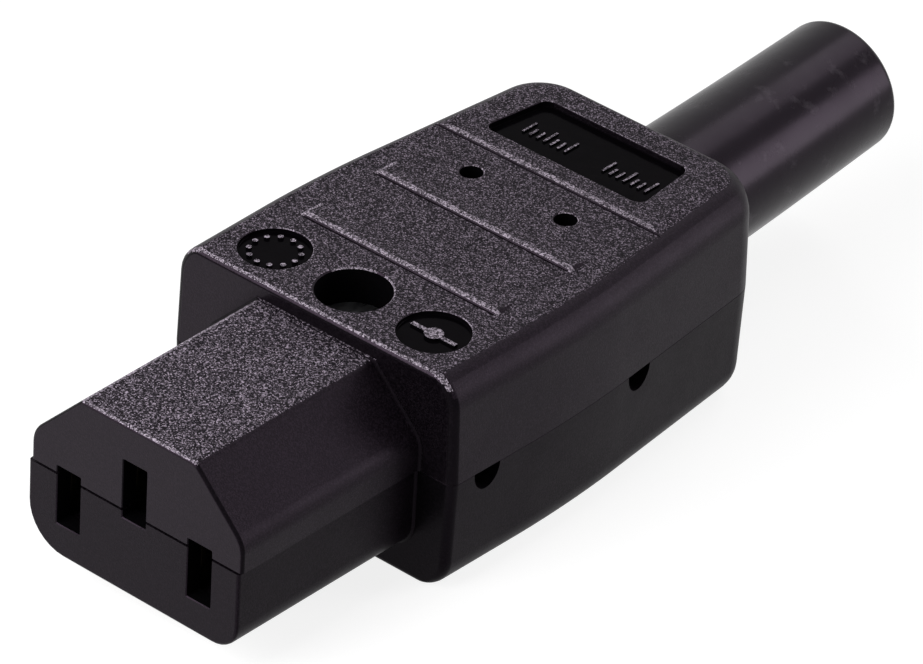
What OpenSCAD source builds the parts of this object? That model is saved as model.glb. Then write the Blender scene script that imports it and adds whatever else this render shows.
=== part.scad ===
// Rewireable C13 appliance connector: two screwed half shells, three folded brass
// receptacles with pillar terminals, a cord clamp and a rubber boot, straight cable exit.
// Built with the mating face at y = 0, the parting plane at z = 0 and the cable leaving
// towards +Y; placed() then sets it on its flat underside, centred under its box.

/* [Nose] */
// Width of the nose that enters the inlet
nose_w = 22.5; // [21.6:0.1:24]
// Length of the nose in front of the body
nose_len = 20.5; // [19.5:0.1:23]
// Height of the nose above the parting plane
nose_top = 8; // [7.8:0.05:8.6]
// Depth of the nose below the parting plane
nose_drop = 7.7; // [7.3:0.05:8.4]
// Leg of the two 45 degree corners that key the nose
nose_chamfer = 5.5; // [4:0.1:5.8]
// Radius that blends each keyed corner into the side
nose_blend_r = 2.5; // [1:0.1:3]
// Radius of the edge between the nose's top and each keyed corner
nose_key_r = 0.9; // [0.85:0.05:1.5]
// Radius of the two lower corners of the nose
nose_corner_r = 3; // [2.4:0.1:4.4]
// Radius of the small edge round the mating face
face_edge_r = 0.4; // [0.2:0.05:0.8]
// Size of the sloped collar where the nose meets the body
nose_collar = 0.8; // [0.3:0.1:1.2]
// Thickness of the wall behind the mating face
face_wall = 1.6; // [1.2:0.1:2.4]
// Thickness of the side walls of the nose
nose_wall = 2.1; // [1.7:0.1:2.4]

/* [Contact slots] */
// Distance from the line slot to the neutral slot
pin_pitch = 14; // [13.8:0.1:14.2]
// Height of the earth slot above the plane of the line and neutral slots
earth_offset = 4; // [3.8:0.1:4.2]
// Width of each slot
slot_w = 2.5; // [2.3:0.05:2.8]
// Height of each slot
slot_h = 5.45; // [4.6:0.05:5.8]

/* [Body] */
// Width of the body at its widest point
body_w = 30.6; // [29.6:0.1:34]
// Width of the body at its rear corners
rear_w = 26.7; // [25.4:0.1:29]
// Length of the body behind the nose
body_len = 40.8; // [40:0.1:48]
// Height of the rear platform above the parting plane
body_top = 9.75; // [9.5:0.05:12]
// Depth of the body below the parting plane
body_drop = 10.65; // [9.8:0.05:12]
// Amount that each front corner stands in from the widest point
front_relief = 0.15; // [0:0.05:0.6]
// Distance from the body's front to its widest point
bow_y = 15.5; // [13:0.5:18]
// Radius of the soft bend at the widest point
bow_r = 12; // [6:0.5:12.5]
// Draft of each side wall over the height of a shell
side_draft = 0.6; // [0.3:0.05:1]
// Radius of the long edges
edge_r = 2.6; // [1:0.1:3]
// Radius of the upper and lower front edges
front_edge_r = 0.4; // [0.2:0.05:0.8]
// Radius of the upper and lower rear edges
rear_edge_r = 1.2; // [0.5:0.1:1.8]
// Radius of the two upright rear corners
rear_corner_r = 3.2; // [2:0.1:4.5]
// Radius of the two upright front corners
front_corner_r = 0.8; // [0.4:0.1:1.5]
// Size of the small bevel along the parting line
parting_bevel = 0.12; // [0.05:0.01:0.25]
// Thickness of the side walls of the body
side_wall = 2; // [1.4:0.1:2.3]
// Thickness of the roof and the floor
roof_wall = 1.8; // [1.5:0.1:2.2]
// Thickness of the rear wall round the boot
rear_wall = 1.9; // [1.5:0.1:2.5]
// Thickness of the front wall beside the nose
front_wall = 1.7; // [1.4:0.1:2.2]

/* [Top details] */
// Height of the platform above the grip area
platform_rise = 0.2; // [0.1:0.05:0.4]
// Length of the platform from the body's rear
platform_len = 12.7; // [11.5:0.1:14]
// Distance from the body's front to the first grip ridge
ridge_y = 9.8; // [8.6:0.1:11.5]
// Distance from the first grip ridge to the second
ridge_pitch = 9; // [4:0.1:13]
// Half the length of a grip ridge across the body
ridge_half = 10.5; // [8:0.1:11.5]
// Height of a grip ridge at its front face
ridge_h = 0.28; // [0.15:0.01:0.5]
// Run of a grip ridge down to the surface behind it
ridge_run = 2.6; // [1.5:0.1:4]
// Diameter of the two round recesses
disc_d = 6.1; // [4:0.1:6.4]
// Distance from the middle to each round recess
disc_x = 8.48; // [8.2:0.01:9]
// Depth of the round recesses
disc_depth = 0.4; // [0.2:0.05:0.6]
// Width of the label recess at its front edge
label_front_w = 16.8; // [12:0.1:17.4]
// Width of the label recess at its rear edge
label_rear_w = 15.4; // [10:0.1:15.8]
// Length of the label recess
label_len = 7; // [4:0.1:7.4]
// Distance from the label recess to the body's rear
label_gap = 3.4; // [3:0.1:5]
// Depth of the label recess
label_depth = 0.6; // [0.2:0.05:0.7]
// Radius of the corners of the label recess
label_r = 0.6; // [0.3:0.1:1]
// Radius of the half-round notches in the sides at the parting line
notch_r = 1.5; // [0.8:0.1:1.8]
// Depth of the notches below the parting line
notch_drop = 1.9; // [1.8:0.1:2.6]
// Distance from the body's front to the front pair of notches
front_notch_y = 4.1; // [3.8:0.1:6]
// Distance from the body's front to the rear pair of notches
rear_notch_y = 23.4; // [22:0.1:26.5]

/* [Case screw] */
// Distance from the body's front to the case screw
screw_y = 4.6; // [4.4:0.05:5]
// Diameter of the screw's counterbore
counterbore_d = 6.4; // [6.1:0.05:6.6]
// Depth of the screw head's seat below the grip area
seat_depth = 5.6; // [4.6:0.1:6]
// Diameter of the case screw's thread
case_screw_d = 3; // [2.5:0.1:3.2]
// Diameter of the case screw's head
case_head_d = 5.8; // [5:0.1:6]
// Height of the case screw's head
case_head_h = 2.3; // [1.6:0.1:2.6]
// Size of the nut across its flats
nut_af = 5.5; // [5:0.1:5.6]
// Height of the nut
nut_h = 2.4; // [1.8:0.1:2.6]
// Depth that the nut stands in from the underside
nut_recess = 0.3; // [0.1:0.1:0.8]
// Outside diameter of the screw posts
post_d = 9; // [8.8:0.1:9.2]
// Clearance of a screw in its hole, on the radius
hole_clear = 0.2; // [0.1:0.05:0.3]
// Clearance of a thread in its nut or block, on the radius
thread_clear = 0.06; // [0.03:0.01:0.1]
// Clearance of the nut in its pocket, to each flat
nut_clear = 0.1; // [0.05:0.05:0.2]

/* [Contacts] */
// Thickness of the brass strip
strip_t = 0.6; // [0.4:0.05:0.7]
// Height of each receptacle leaf
leaf_h = 4.6; // [3.6:0.1:4.8]
// Outside width of a receptacle where it is folded
receptacle_w = 4.3; // [3.8:0.05:4.4]
// Gap between the leaves at their neck
neck_gap = 1.5; // [1.2:0.1:1.9]
// Gap between the leaves at their mouth
mouth_gap = 2.7; // [2.2:0.1:2.9]
// Length of a receptacle, from its mouth to the tail
receptacle_len = 14.5; // [13:0.1:15]
// Length of the folded web that joins the leaves
web_len = 6.5; // [4:0.1:8]
// Clearance round a receptacle in its chamber
chamber_clear = 0.2; // [0.1:0.05:0.3]
// Distance from the receptacles to the open passage behind the chambers
throat_gap = 1.4; // [1:0.1:2]
// Height of the flat tails
tail_h = 2.2; // [1.6:0.1:2.4]
// Offset of the earth tail from the middle where it passes the post
earth_detour = 5.4; // [5.2:0.05:5.6]

/* [Terminals] */
// Width of the earth terminal
block_w = 6; // [5:0.1:6.2]
// Gap between the screw post and each outer terminal, across the body
block_post_gap = 1.35; // [1.2:0.05:1.5]
// Gap between each outer terminal and the side wall at the body's widest point
block_side_gap = 0.85; // [0.5:0.05:1]
// Length of a pillar terminal
block_len = 8; // [7:0.1:8.4]
// Height of a pillar terminal
block_h = 7; // [6.4:0.1:7]
// Diameter of the wire hole in a terminal
wire_d = 3.2; // [2.8:0.1:3.4]
// Distance from the body's front to the line and neutral terminals
outer_block_y = 8; // [7.6:0.1:8.4]
// Distance from the body's front to the earth terminal
earth_block_y = 12.6; // [12.4:0.1:12.9]
// Diameter of the terminal screws
wire_screw_d = 2.6; // [2:0.1:2.8]
// Diameter of the terminal screws' heads
wire_head_d = 4.6; // [3.6:0.1:5]
// Height of the terminal screws' heads
wire_head_h = 1.8; // [1.2:0.1:2]
// Gap between a terminal and its screw's head
head_gap = 0.3; // [0.1:0.05:0.4]
// Thickness of the walls that keep the terminals apart
barrier_t = 1.2; // [0.8:0.1:1.4]
// Thickness of the low stop behind each terminal
stop_t = 1; // [0.8:0.1:1.4]
// Clearance between a terminal and its stop
block_clear = 0.2; // [0.1:0.05:0.3]

/* [Cord clamp] */
// Diameter of the cable
cable_d = 7; // [6:0.1:7.2]
// Distance between the two clamp screws
clamp_pitch = 10.1; // [9.9:0.05:10.6]
// Distance from the body's front to the clamp screws
clamp_y = 24.6; // [24:0.1:25.4]
// Length of the clamp bar along the cable
clamp_len = 4; // [3:0.1:4.4]
// Width of the clamp bar
clamp_w = 15.2; // [14.6:0.1:16.4]
// Thickness of the clamp bar
clamp_t = 2; // [1.6:0.1:2.2]
// Diameter of the clamp screws
clamp_screw_d = 2.6; // [2:0.1:2.8]
// Diameter of the clamp screws' heads
clamp_head_d = 5; // [4:0.1:5.2]
// Height of the clamp screws' heads
clamp_head_h = 1.6; // [1.2:0.1:1.7]
// Diameter of the pilot holes that come out through the roof
pilot_d = 2; // [1.2:0.05:2.1]
// Wall of the posts that the clamp screws bite into
clamp_post_wall = 1; // [0.8:0.1:1.3]
// Clearance between the cable and the clamp, on the radius
clamp_clear = 0.1; // [0:0.05:0.2]
// Thickness of the two saddle ribs that face the clamp bar
saddle_rib_t = 1.2; // [0.8:0.1:1.6]

/* [Cable boot] */
// Length of the boot outside the body
boot_len = 28; // [20:0.5:40]
// Diameter of the boot at the rear wall
boot_root_d = 12.5; // [11.8:0.1:12.8]
// Diameter of the boot at its end
boot_end_d = 11.8; // [10.4:0.1:12.2]
// Radius of the edge at the boot's end
boot_edge_r = 0.7; // [0.3:0.1:1]
// Clearance of the cable in the boot, on the radius
cable_clear = 0.1; // [0:0.05:0.3]
// Diameter of the flange that the shells grip
flange_d = 14.6; // [14:0.1:15]
// Thickness of the flange
flange_t = 2.6; // [2:0.1:3]
// Clearance of the boot in the shells
boot_clear = 0.15; // [0.05:0.05:0.25]
// Thickness of the wall in front of the flange
gate_t = 1.6; // [1.2:0.1:2]
// Gap round the cable in that wall
gate_gap = 1; // [0.5:0.1:1.5]

/* [Locating pegs] */
// Diameter of the pegs
peg_d = 2; // [1.4:0.1:2.2]
// Height of the pegs
peg_h = 2.6; // [1.5:0.1:3]
// Diameter of the bosses that carry the pegs
peg_boss_d = 4; // [3.6:0.1:4.2]
// Clearance of a peg in its hole, on the radius
peg_clear = 0.12; // [0.05:0.01:0.2]
// Distance from the body's front to the front pair of pegs
front_peg_y = 19.6; // [19:0.1:20.2]
// Distance from the body's front to the rear pair of pegs
rear_peg_y = 31.6; // [29.6:0.1:31.8]

/* [Hidden] */

$fn = 48;
hull_fn = 32;
skin = 0.01; // thickness of one section under a hull
over = 1;    // how far a cut runs past what it cuts
root = 0.6;  // how far posts, beds and bosses run into the wall that carries them
tip_gap = 0.2; // how far a screw's tip stays short of the end of its hole
plastic = [0.14, 0.14, 0.15];
rubber = [0.08, 0.08, 0.09];
brass = [0.80, 0.64, 0.32];
steel = [0.62, 0.63, 0.65];
nylon = [0.22, 0.22, 0.23];

lap = 1;         // how far a tail runs into its receptacle
tail_short = 1.5; // how far a tail stops short of its terminal's rear

// Main stations along the connector
body_y = nose_len;
rear_y = nose_len + body_len;
boot_end_y = rear_y + boot_len;
deck_z = body_top - platform_rise;
step_y = rear_y - platform_len;
cavity_y0 = body_y + front_wall;
cavity_y1 = rear_y - rear_wall;
roof_z = deck_z - roof_wall;
floor_z = -body_drop + roof_wall;
throat_y = face_wall + receptacle_len + throat_gap;

// Case screw and its posts
case_y = body_y + screw_y;
seat_z = deck_z - seat_depth;
nut_top_z = -body_drop + nut_recess + nut_h;

// Contacts and terminals, as [x, z] of the middle of each slot
line_at = [-pin_pitch / 2, -earth_offset / 2];
neutral_at = [pin_pitch / 2, -earth_offset / 2];
earth_at = [0, earth_offset / 2];
slots = [line_at, neutral_at, earth_at];
chamber_w = receptacle_w + 2 * chamber_clear;
chamber_h = leaf_h + 2 * (strip_t + chamber_clear);
mouth_y = face_wall + chamber_clear;
tail_y = mouth_y + receptacle_len;
earth_tail_z = earth_at[1] - leaf_h / 2 + tail_h / 2;
outer_block_x0 = post_d / 2 + block_post_gap;
outer_block_x1 = body_w / 2 - side_draft - side_wall - block_side_gap;
outer_block_w = outer_block_x1 - outer_block_x0;
outer_block = [(outer_block_x0 + outer_block_x1) / 2, body_y + outer_block_y, line_at[1]];
earth_block = [0, body_y + earth_block_y, earth_tail_z];

// Cord clamp
clamp_at = body_y + clamp_y;
bar_top_z = -cable_d / 2 - clamp_clear;
bar_z = bar_top_z - clamp_t;

// Boot
bore_r = cable_d / 2 + cable_clear;
flange_y1 = cavity_y1 - boot_clear;
flange_y0 = flange_y1 - flange_t;
gate_y = flange_y0 - boot_clear;

// Pegs and notches, from the front of the body
peg_stations = [front_peg_y, rear_peg_y];
notch_stations = [front_notch_y, rear_notch_y];
ridge_stations = [body_y + ridge_y, body_y + ridge_y + ridge_pitch];

// Distance from the middle to a peg whose boss runs into the side wall
function peg_x(y) = cavity_half(body_y + y) - peg_boss_d / 2 + root / 2;

// Half width of the body's outer wall at the parting plane, at a distance y
function outer_half(y) =
    let (mid = body_y + bow_y, end = rear_y - rear_corner_r)
    y < mid ? body_w / 2 - front_relief * (mid - y) / bow_y
            : body_w / 2 - (body_w - rear_w) / 2 * min(1, (y - mid) / (end - mid));

// Half width of the space inside the body at a distance y
function cavity_half(y) = outer_half(y) - side_draft - side_wall;

// How far an edge of radius r has curved in at height z under a top at height top
function curve_in(z, top, r) =
    z <= top - r ? 0 : r - sqrt(max(0, r * r - pow(z - top + r, 2)));

// ---------------------------------------------------------------- outer forms

// One level of the body's outline: discs at the front corners, the bow and the rear corners
module body_level(z, side_in, front_in, rear_in) {
    for (s = [-1, 1]) {
        translate([s * (body_w / 2 - front_relief - side_in - front_corner_r),
                   body_y + front_in + front_corner_r, z])
            cylinder(r = front_corner_r, h = skin, $fn = 16);
        translate([s * (body_w / 2 - side_in - bow_r), body_y + bow_y, z])
            cylinder(r = bow_r, h = skin, $fn = 2 * hull_fn);
        translate([s * (rear_w / 2 - side_in - rear_corner_r),
                   rear_y - rear_in - rear_corner_r, z])
            cylinder(r = rear_corner_r, h = skin, $fn = hull_fn);
    }
}

// Half of the body, from the parting plane up to the height top
module half_body(top) {
    hull() {
        body_level(0, parting_bevel, parting_bevel, parting_bevel);
        body_level(parting_bevel, 0, 0, 0);
        for (a = [0 : 15 : 90]) {
            z = top - skin - edge_r + edge_r * sin(a);
            body_level(z, side_draft * z / top + curve_in(z + skin, top, edge_r),
                curve_in(z + skin, top, front_edge_r), curve_in(z + skin, top, rear_edge_r));
        }
    }
}

// Disc that faces the mating side, with its middle at [x, z]
module face_disc(x, y, z, r) {
    translate([x, y, z]) rotate([-90, 0, 0]) cylinder(r = r, h = skin, $fn = hull_fn);
}

// Bevelled corner of a nose section at the parting plane, on the side of z that up gives
module parting_corner(x, y, up) {
    b = parting_bevel;
    translate([x, y, 0]) rotate([-90, 0, 0]) mirror([0, 1, 0])
        linear_extrude(height = skin)
            polygon([[-sign(x) * b, 0], [0, up * b], [-sign(x) * b, up * b]]);
}

// One section of the upper nose at y, with its outline moved in by inset
module upper_nose_level(y, inset) {
    lean = sqrt(2) - 1;
    for (s = [-1, 1]) {
        face_disc(s * (nose_w / 2 - nose_chamfer - nose_key_r * lean), y,
            nose_top - nose_key_r, nose_key_r - inset);
        face_disc(s * (nose_w / 2 - nose_blend_r), y,
            nose_top - nose_chamfer - nose_blend_r * lean, nose_blend_r - inset);
        parting_corner(s * (nose_w / 2 - inset), y, 1);
    }
}

// One section of the lower nose at y, with its outline moved in by inset
module lower_nose_level(y, inset) {
    for (s = [-1, 1]) {
        face_disc(s * (nose_w / 2 - nose_corner_r), y, -nose_drop + nose_corner_r,
            nose_corner_r - inset);
        parting_corner(s * (nose_w / 2 - inset), y, -1);
    }
}

// Upper nose from the mating face into the body, cut off flat at the parting plane
module upper_nose() {
    intersection() {
        union() {
            hull() {
                for (a = [0 : 30 : 90])
                    upper_nose_level(face_edge_r * (1 - cos(a)), face_edge_r * (1 - sin(a)));
                upper_nose_level(body_y + front_wall, 0);
            }
            hull() {
                upper_nose_level(body_y - nose_collar, 0);
                upper_nose_level(body_y, -nose_collar);
            }
        }
        span(nose_w, -over, body_y + front_wall + over, 0, nose_top + over);
    }
}

// Lower nose from the mating face into the body, cut off flat at the parting plane
module lower_nose() {
    intersection() {
        union() {
            hull() {
                for (a = [0 : 30 : 90])
                    lower_nose_level(face_edge_r * (1 - cos(a)), face_edge_r * (1 - sin(a)));
                lower_nose_level(body_y + front_wall, 0);
            }
            hull() {
                lower_nose_level(body_y - nose_collar, 0);
                lower_nose_level(body_y, -nose_collar);
            }
        }
        span(nose_w, -over, body_y + front_wall + over, -nose_drop - over, 0);
    }
}

// ---------------------------------------------------------------- spaces inside the shells

// Box centred across x, from y0 to y1 and from z0 to z1
module span(half, y0, y1, z0, z1) {
    translate([-half, y0, z0]) cube([2 * half, y1 - y0, z1 - z0]);
}

// Outline of the space inside the body, straight between its three stations
module cavity_plan() {
    mid = body_y + bow_y;
    bend = rear_y - rear_corner_r;
    polygon([[-cavity_half(cavity_y0), cavity_y0], [cavity_half(cavity_y0), cavity_y0],
        [cavity_half(mid), mid], [cavity_half(bend), bend],
        [cavity_half(bend) - 1, cavity_y1], [-cavity_half(bend) + 1, cavity_y1],
        [-cavity_half(bend), bend], [-cavity_half(mid), mid]]);
}

// Outline, in x and z, of the passage from the chambers into the body
module throat_outline() {
    half = pin_pitch / 2 + chamber_w / 2;
    high = earth_at[1] + chamber_h / 2;
    low = line_at[1] - chamber_h / 2;
    key = nose_w / 2 - nose_chamfer + nose_top - nose_wall * sqrt(2);
    corner = nose_corner_r - nose_wall;
    polygon([[-half, low + corner], [-half + corner, low], [half - corner, low],
        [half, low + corner], [half, key - half], [key - high, high],
        [high - key, high], [-half, key - half]]);
}

// Everything hollow between the mating face and the rear wall
module inner_space() {
    for (at = slots) {
        translate([at[0], 0, at[1]]) {
            span(slot_w / 2, -over, face_wall + over, -slot_h / 2, slot_h / 2);
            span(chamber_w / 2, face_wall, throat_y + over, -chamber_h / 2, chamber_h / 2);
        }
    }
    translate([0, cavity_y0 + over, 0]) rotate([90, 0, 0])
        linear_extrude(height = cavity_y0 + over - throat_y) throat_outline();
    translate([0, 0, floor_z])
        linear_extrude(height = roof_z - floor_z) cavity_plan();
    translate([0, cavity_y1 - over, 0]) rotate([-90, 0, 0])
        cylinder(d = boot_root_d + 2 * boot_clear, h = rear_wall + 2 * over);
}

// Wall in front of the boot's flange, between z0 and z1, open round the cable
module flange_gate(z0, z1) {
    half = cavity_half(gate_y) + side_wall / 2;
    difference() {
        span(half, gate_y - gate_t, gate_y, z0, z1);
        translate([0, gate_y - gate_t - over, 0]) rotate([-90, 0, 0])
            cylinder(r = cable_d / 2 + gate_gap, h = gate_t + 2 * over);
    }
}

// Places its children at the four locating pegs
module at_pegs() {
    for (y = peg_stations, s = [-1, 1])
        translate([s * peg_x(y), body_y + y, 0]) children();
}

// Places its children at both clamp screws
module at_clamp_screws() {
    for (s = [-1, 1]) translate([s * clamp_pitch / 2, clamp_at, 0]) children();
}

// ---------------------------------------------------------------- shells

// Wedges across the deck: each steep side faces the nose and its back runs out to the deck
module grip_ridges() {
    for (y = ridge_stations)
        translate([-ridge_half, y, deck_z]) rotate([90, 0, 90])
            linear_extrude(height = 2 * ridge_half)
                polygon([[0, -root / 2], [0, ridge_h], [ridge_run, 0], [ridge_run, -root / 2]]);
}

// Shallow tapered recess with round corners on the rear platform
module label_recess() {
    y1 = rear_y - label_gap;
    hull()
        for (s = [-1, 1]) {
            translate([s * (label_front_w / 2 - label_r), y1 - label_len + label_r,
                       body_top - label_depth])
                cylinder(r = label_r, h = label_depth + over, $fn = hull_fn);
            translate([s * (label_rear_w / 2 - label_r), y1 - label_r,
                       body_top - label_depth])
                cylinder(r = label_r, h = label_depth + over, $fn = hull_fn);
        }
}

// Saddle between the clamp posts, shaped to the cable
module cable_saddle() {
    post_r = clamp_screw_d / 2 + clamp_post_wall;
    half = clamp_pitch / 2 - clamp_screw_d / 2 - thread_clear - clamp_post_wall / 2;
    post_z = cable_d / 2 + clamp_clear;
    difference() {
        for (y = [clamp_at - clamp_len / 2, clamp_at + clamp_len / 2 - saddle_rib_t])
            span(half, y, y + saddle_rib_t, 0, roof_z + root);
        translate([0, clamp_at - clamp_len, 0]) rotate([-90, 0, 0])
            cylinder(r = cable_d / 2 + clamp_clear, h = 2 * clamp_len);
        span(half + over, clamp_at - clamp_len, clamp_at + clamp_len, -over, cable_d / 4);
    }
    at_clamp_screws() translate([0, 0, post_z])
        cylinder(r = post_r, h = roof_z + root - post_z);
}

module upper_shell() {
    color(plastic)
    difference() {
        union() {
            difference() {
                union() {
                    half_body(body_top);
                    upper_nose();
                }
                inner_space();
            }
            translate([0, case_y, 0]) cylinder(d = post_d, h = roof_z + root);
            flange_gate(0, roof_z + root);
            at_pegs() cylinder(d = peg_boss_d, h = roof_z + root);
            cable_saddle();
            grip_ridges();
        }
        // the deck lies lower than the platform behind it, apart from its ridges
        difference() {
            span(body_w, body_y - nose_collar, step_y, deck_z, body_top + over);
            grip_ridges();
        }
        // case screw
        translate([0, case_y, seat_z]) cylinder(d = counterbore_d, h = body_top);
        translate([0, case_y, -over])
            cylinder(r = case_screw_d / 2 + hole_clear, h = seat_z + 2 * over);
        // clamp screws, with pilot holes that come out on the deck
        at_clamp_screws() {
            cylinder(r = clamp_screw_d / 2 + thread_clear, h = roof_z);
            cylinder(d = pilot_d, h = body_top + over);
        }
        at_pegs() translate([0, 0, -over])
            cylinder(r = peg_d / 2 + peg_clear, h = peg_h + 2 * peg_clear + over);
        for (s = [-1, 1])
            translate([s * disc_x, case_y, deck_z - disc_depth])
                cylinder(d = disc_d, h = body_top);
        label_recess();
    }
}

// Half-round notch through one side wall, flat along the parting line
module side_notch(y, s) {
    depth = side_wall + side_draft + over;
    x0 = s > 0 ? outer_half(y) - depth : -outer_half(y) - over;
    translate([x0, y, notch_r - notch_drop]) {
        rotate([0, 90, 0]) cylinder(r = notch_r, h = depth + over);
        translate([0, -notch_r, 0]) cube([depth + over, 2 * notch_r, notch_drop - notch_r + over]);
    }
}

// Bed that carries a pillar terminal of width w, with a low stop behind it
module terminal_bed(block, w) {
    bottom = block[2] - block_h / 2;
    stop_y = block_len + block_clear;
    translate([block[0], block[1], 0]) {
        span(w / 2, 0, block_len, floor_z - root, bottom);
        span(w / 2, stop_y, stop_y + stop_t,
            floor_z - root, block[2] - wire_d / 2 - block_clear);
    }
}

// Walls that keep the terminals apart
module barriers() {
    y0 = case_y + post_d / 2 + barrier_t / 2;
    for (s = [-1, 1])
        translate([s * outer_block[0] / 2 - barrier_t / 2, y0, floor_z - root])
            cube([barrier_t, earth_block[1] + block_len - y0,
                root - floor_z - block_clear]);
}

module lower_shell() {
    color(plastic)
    difference() {
        union() {
            difference() {
                union() {
                    mirror([0, 0, 1]) half_body(body_drop);
                    lower_nose();
                }
                inner_space();
            }
            translate([0, case_y, floor_z - root]) cylinder(d = post_d, h = root - floor_z);
            flange_gate(floor_z - root, 0);
            at_pegs() translate([0, 0, floor_z - root]) {
                cylinder(d = peg_boss_d, h = root - floor_z);
                cylinder(d = peg_d, h = root - floor_z + peg_h);
            }
            terminal_bed(outer_block, outer_block_w);
            terminal_bed([-outer_block[0], outer_block[1], outer_block[2]], outer_block_w);
            terminal_bed(earth_block, block_w);
            barriers();
        }
        translate([0, case_y, -body_drop - over])
            cylinder(r = case_screw_d / 2 + hole_clear, h = body_drop + 2 * over);
        translate([0, case_y, -body_drop - over])
            cylinder(r = (nut_af / 2 + nut_clear) / cos(30), h = nut_recess + nut_h + over, $fn = 6);
        for (y = notch_stations, s = [-1, 1]) side_notch(body_y + y, s);
    }
}

// ---------------------------------------------------------------- screws

// Pan head screw standing on z = 0, head up, with a cross recess
module pan_screw(shank_d, length, head_d, head_h) {
    dome_r = 0.9 * head_d;
    rim_z = head_h - dome_r + sqrt(dome_r * dome_r - head_d * head_d / 4);
    wing = 0.28 * head_d;
    slot_t = 0.16 * head_d;
    difference() {
        union() {
            translate([0, 0, -length]) cylinder(d = shank_d, h = length);
            rotate_extrude() intersection() {
                square([head_d / 2, head_h]);
                union() {
                    square([head_d / 2, rim_z]);
                    translate([0, head_h - dome_r]) circle(r = dome_r, $fn = 96);
                }
            }
        }
        for (a = [0, 90]) rotate([0, 0, a])
            translate([-wing, -slot_t / 2, head_h / 2]) cube([2 * wing, slot_t, head_h]);
    }
}

// Slotted screw standing on z = 0, head up
module slotted_screw(shank_d, length, head_d, head_h) {
    slot_t = 0.18 * head_d;
    difference() {
        union() {
            translate([0, 0, -length]) cylinder(d = shank_d, h = length);
            cylinder(d = head_d, h = head_h);
        }
        translate([-head_d, -slot_t / 2, head_h / 2]) cube([2 * head_d, slot_t, head_h]);
    }
}

module case_screw() {
    length = seat_z - nut_top_z + nut_h - tip_gap;
    color(steel) translate([0, case_y, seat_z])
        pan_screw(case_screw_d, length, case_head_d, case_head_h);
}

module case_nut() {
    color(steel) translate([0, case_y, nut_top_z - nut_h]) difference() {
        cylinder(r = nut_af / 2 / cos(30), h = nut_h, $fn = 6);
        translate([0, 0, -over])
            cylinder(r = case_screw_d / 2 + thread_clear, h = nut_h + 2 * over);
    }
}

// ---------------------------------------------------------------- contacts

function unit(v) = v / norm(v);
function turn(v) = [-v[1], v[0]];
function side_at(p, i) =
    let (last = len(p) - 1,
         a = turn(unit(p[max(i, 1)] - p[max(i, 1) - 1])),
         b = turn(unit(p[min(i + 1, last)] - p[min(i + 1, last) - 1])))
    (a + b) / (1 + a * b);

// Flat strip of thickness t that follows the points p
module strip(p, t) {
    polygon(concat([for (i = [0 : len(p) - 1]) p[i] + side_at(p, i) * t / 2],
        [for (i = [len(p) - 1 : -1 : 0]) p[i] - side_at(p, i) * t / 2]));
}

// Female receptacle: a folded channel with two spring leaves that narrow towards the mouth
module receptacle() {
    leaf_x = receptacle_w / 2 - strip_t / 2;
    fold_y = tail_y - web_len;
    difference() {
        span(receptacle_w / 2, fold_y, tail_y, -leaf_h / 2 - strip_t, leaf_h / 2);
        span(receptacle_w / 2 - strip_t, fold_y - over, tail_y + over,
            -leaf_h / 2, leaf_h / 2 + over);
    }
    for (s = [-1, 1])
        translate([0, 0, -leaf_h / 2]) linear_extrude(height = leaf_h)
            strip([[s * (mouth_gap + strip_t) / 2, mouth_y],
                [s * (neck_gap + strip_t) / 2, mouth_y + 2],
                [s * leaf_x, fold_y - 0.5], [s * leaf_x, fold_y + 0.5]], strip_t);
}

// Flat tail that follows the points p, centred on height z
module tail(p, z) {
    translate([0, 0, z - tail_h / 2]) linear_extrude(height = tail_h) strip(p, strip_t);
}

// Line or neutral contact, on side s, with a tail that runs from its outer wall to the
// middle of its terminal
module outer_contact(at, s) {
    x = s * (receptacle_w / 2 - strip_t / 2);
    end_x = s * outer_block[0] - at[0];
    color(brass) translate([at[0], 0, at[1]]) {
        receptacle();
        tail([[x, tail_y - lap], [x, cavity_y0], [end_x, outer_block[1] - strip_t],
            [end_x, outer_block[1] + block_len - tail_short]], 0);
    }
}

module line_contact() { outer_contact(line_at, -1); }
module neutral_contact() { outer_contact(neutral_at, 1); }

// Earth contact: its tail steps round the case screw's post and back to the middle
module earth_contact() {
    x = receptacle_w / 2 - strip_t / 2;
    bend_y = throat_y + strip_t / 2;
    color(brass) translate([earth_at[0], 0, 0]) {
        translate([0, 0, earth_at[1]]) receptacle();
        tail([[x, tail_y - lap], [x, bend_y],
            [earth_detour, bend_y + earth_detour - x],
            [earth_detour, case_y + post_d / 4], [0, earth_block[1] - strip_t],
            [0, earth_block[1] + block_len - tail_short]], earth_tail_z);
    }
}

// ---------------------------------------------------------------- terminals

// Pillar terminal: a block of width w with a wire hole along it and a threaded hole
// from the top
module terminal(block, w) {
    color(brass) translate(block) difference() {
        span(w / 2, 0, block_len, -block_h / 2, block_h / 2);
        translate([0, -over, 0]) rotate([-90, 0, 0])
            cylinder(d = wire_d, h = block_len + 2 * over);
        translate([0, block_len / 2, 0])
            cylinder(r = wire_screw_d / 2 + thread_clear, h = block_h);
    }
}

// Screw of a pillar terminal, run down until it nearly meets the tail
module terminal_screw(block) {
    tip = tail_h / 2 + tip_gap / 2;
    seat = block_h / 2 + head_gap;
    color(steel) translate(block + [0, block_len / 2, seat])
        slotted_screw(wire_screw_d, seat - tip, wire_head_d, wire_head_h);
}

module line_terminal() {
    terminal([-outer_block[0], outer_block[1], outer_block[2]], outer_block_w);
}
module neutral_terminal() { terminal(outer_block, outer_block_w); }
module earth_terminal() { terminal(earth_block, block_w); }
module line_terminal_screw() {
    terminal_screw([-outer_block[0], outer_block[1], outer_block[2]]);
}
module neutral_terminal_screw() { terminal_screw(outer_block); }
module earth_terminal_screw() { terminal_screw(earth_block); }

// ---------------------------------------------------------------- cord clamp and boot

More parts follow.
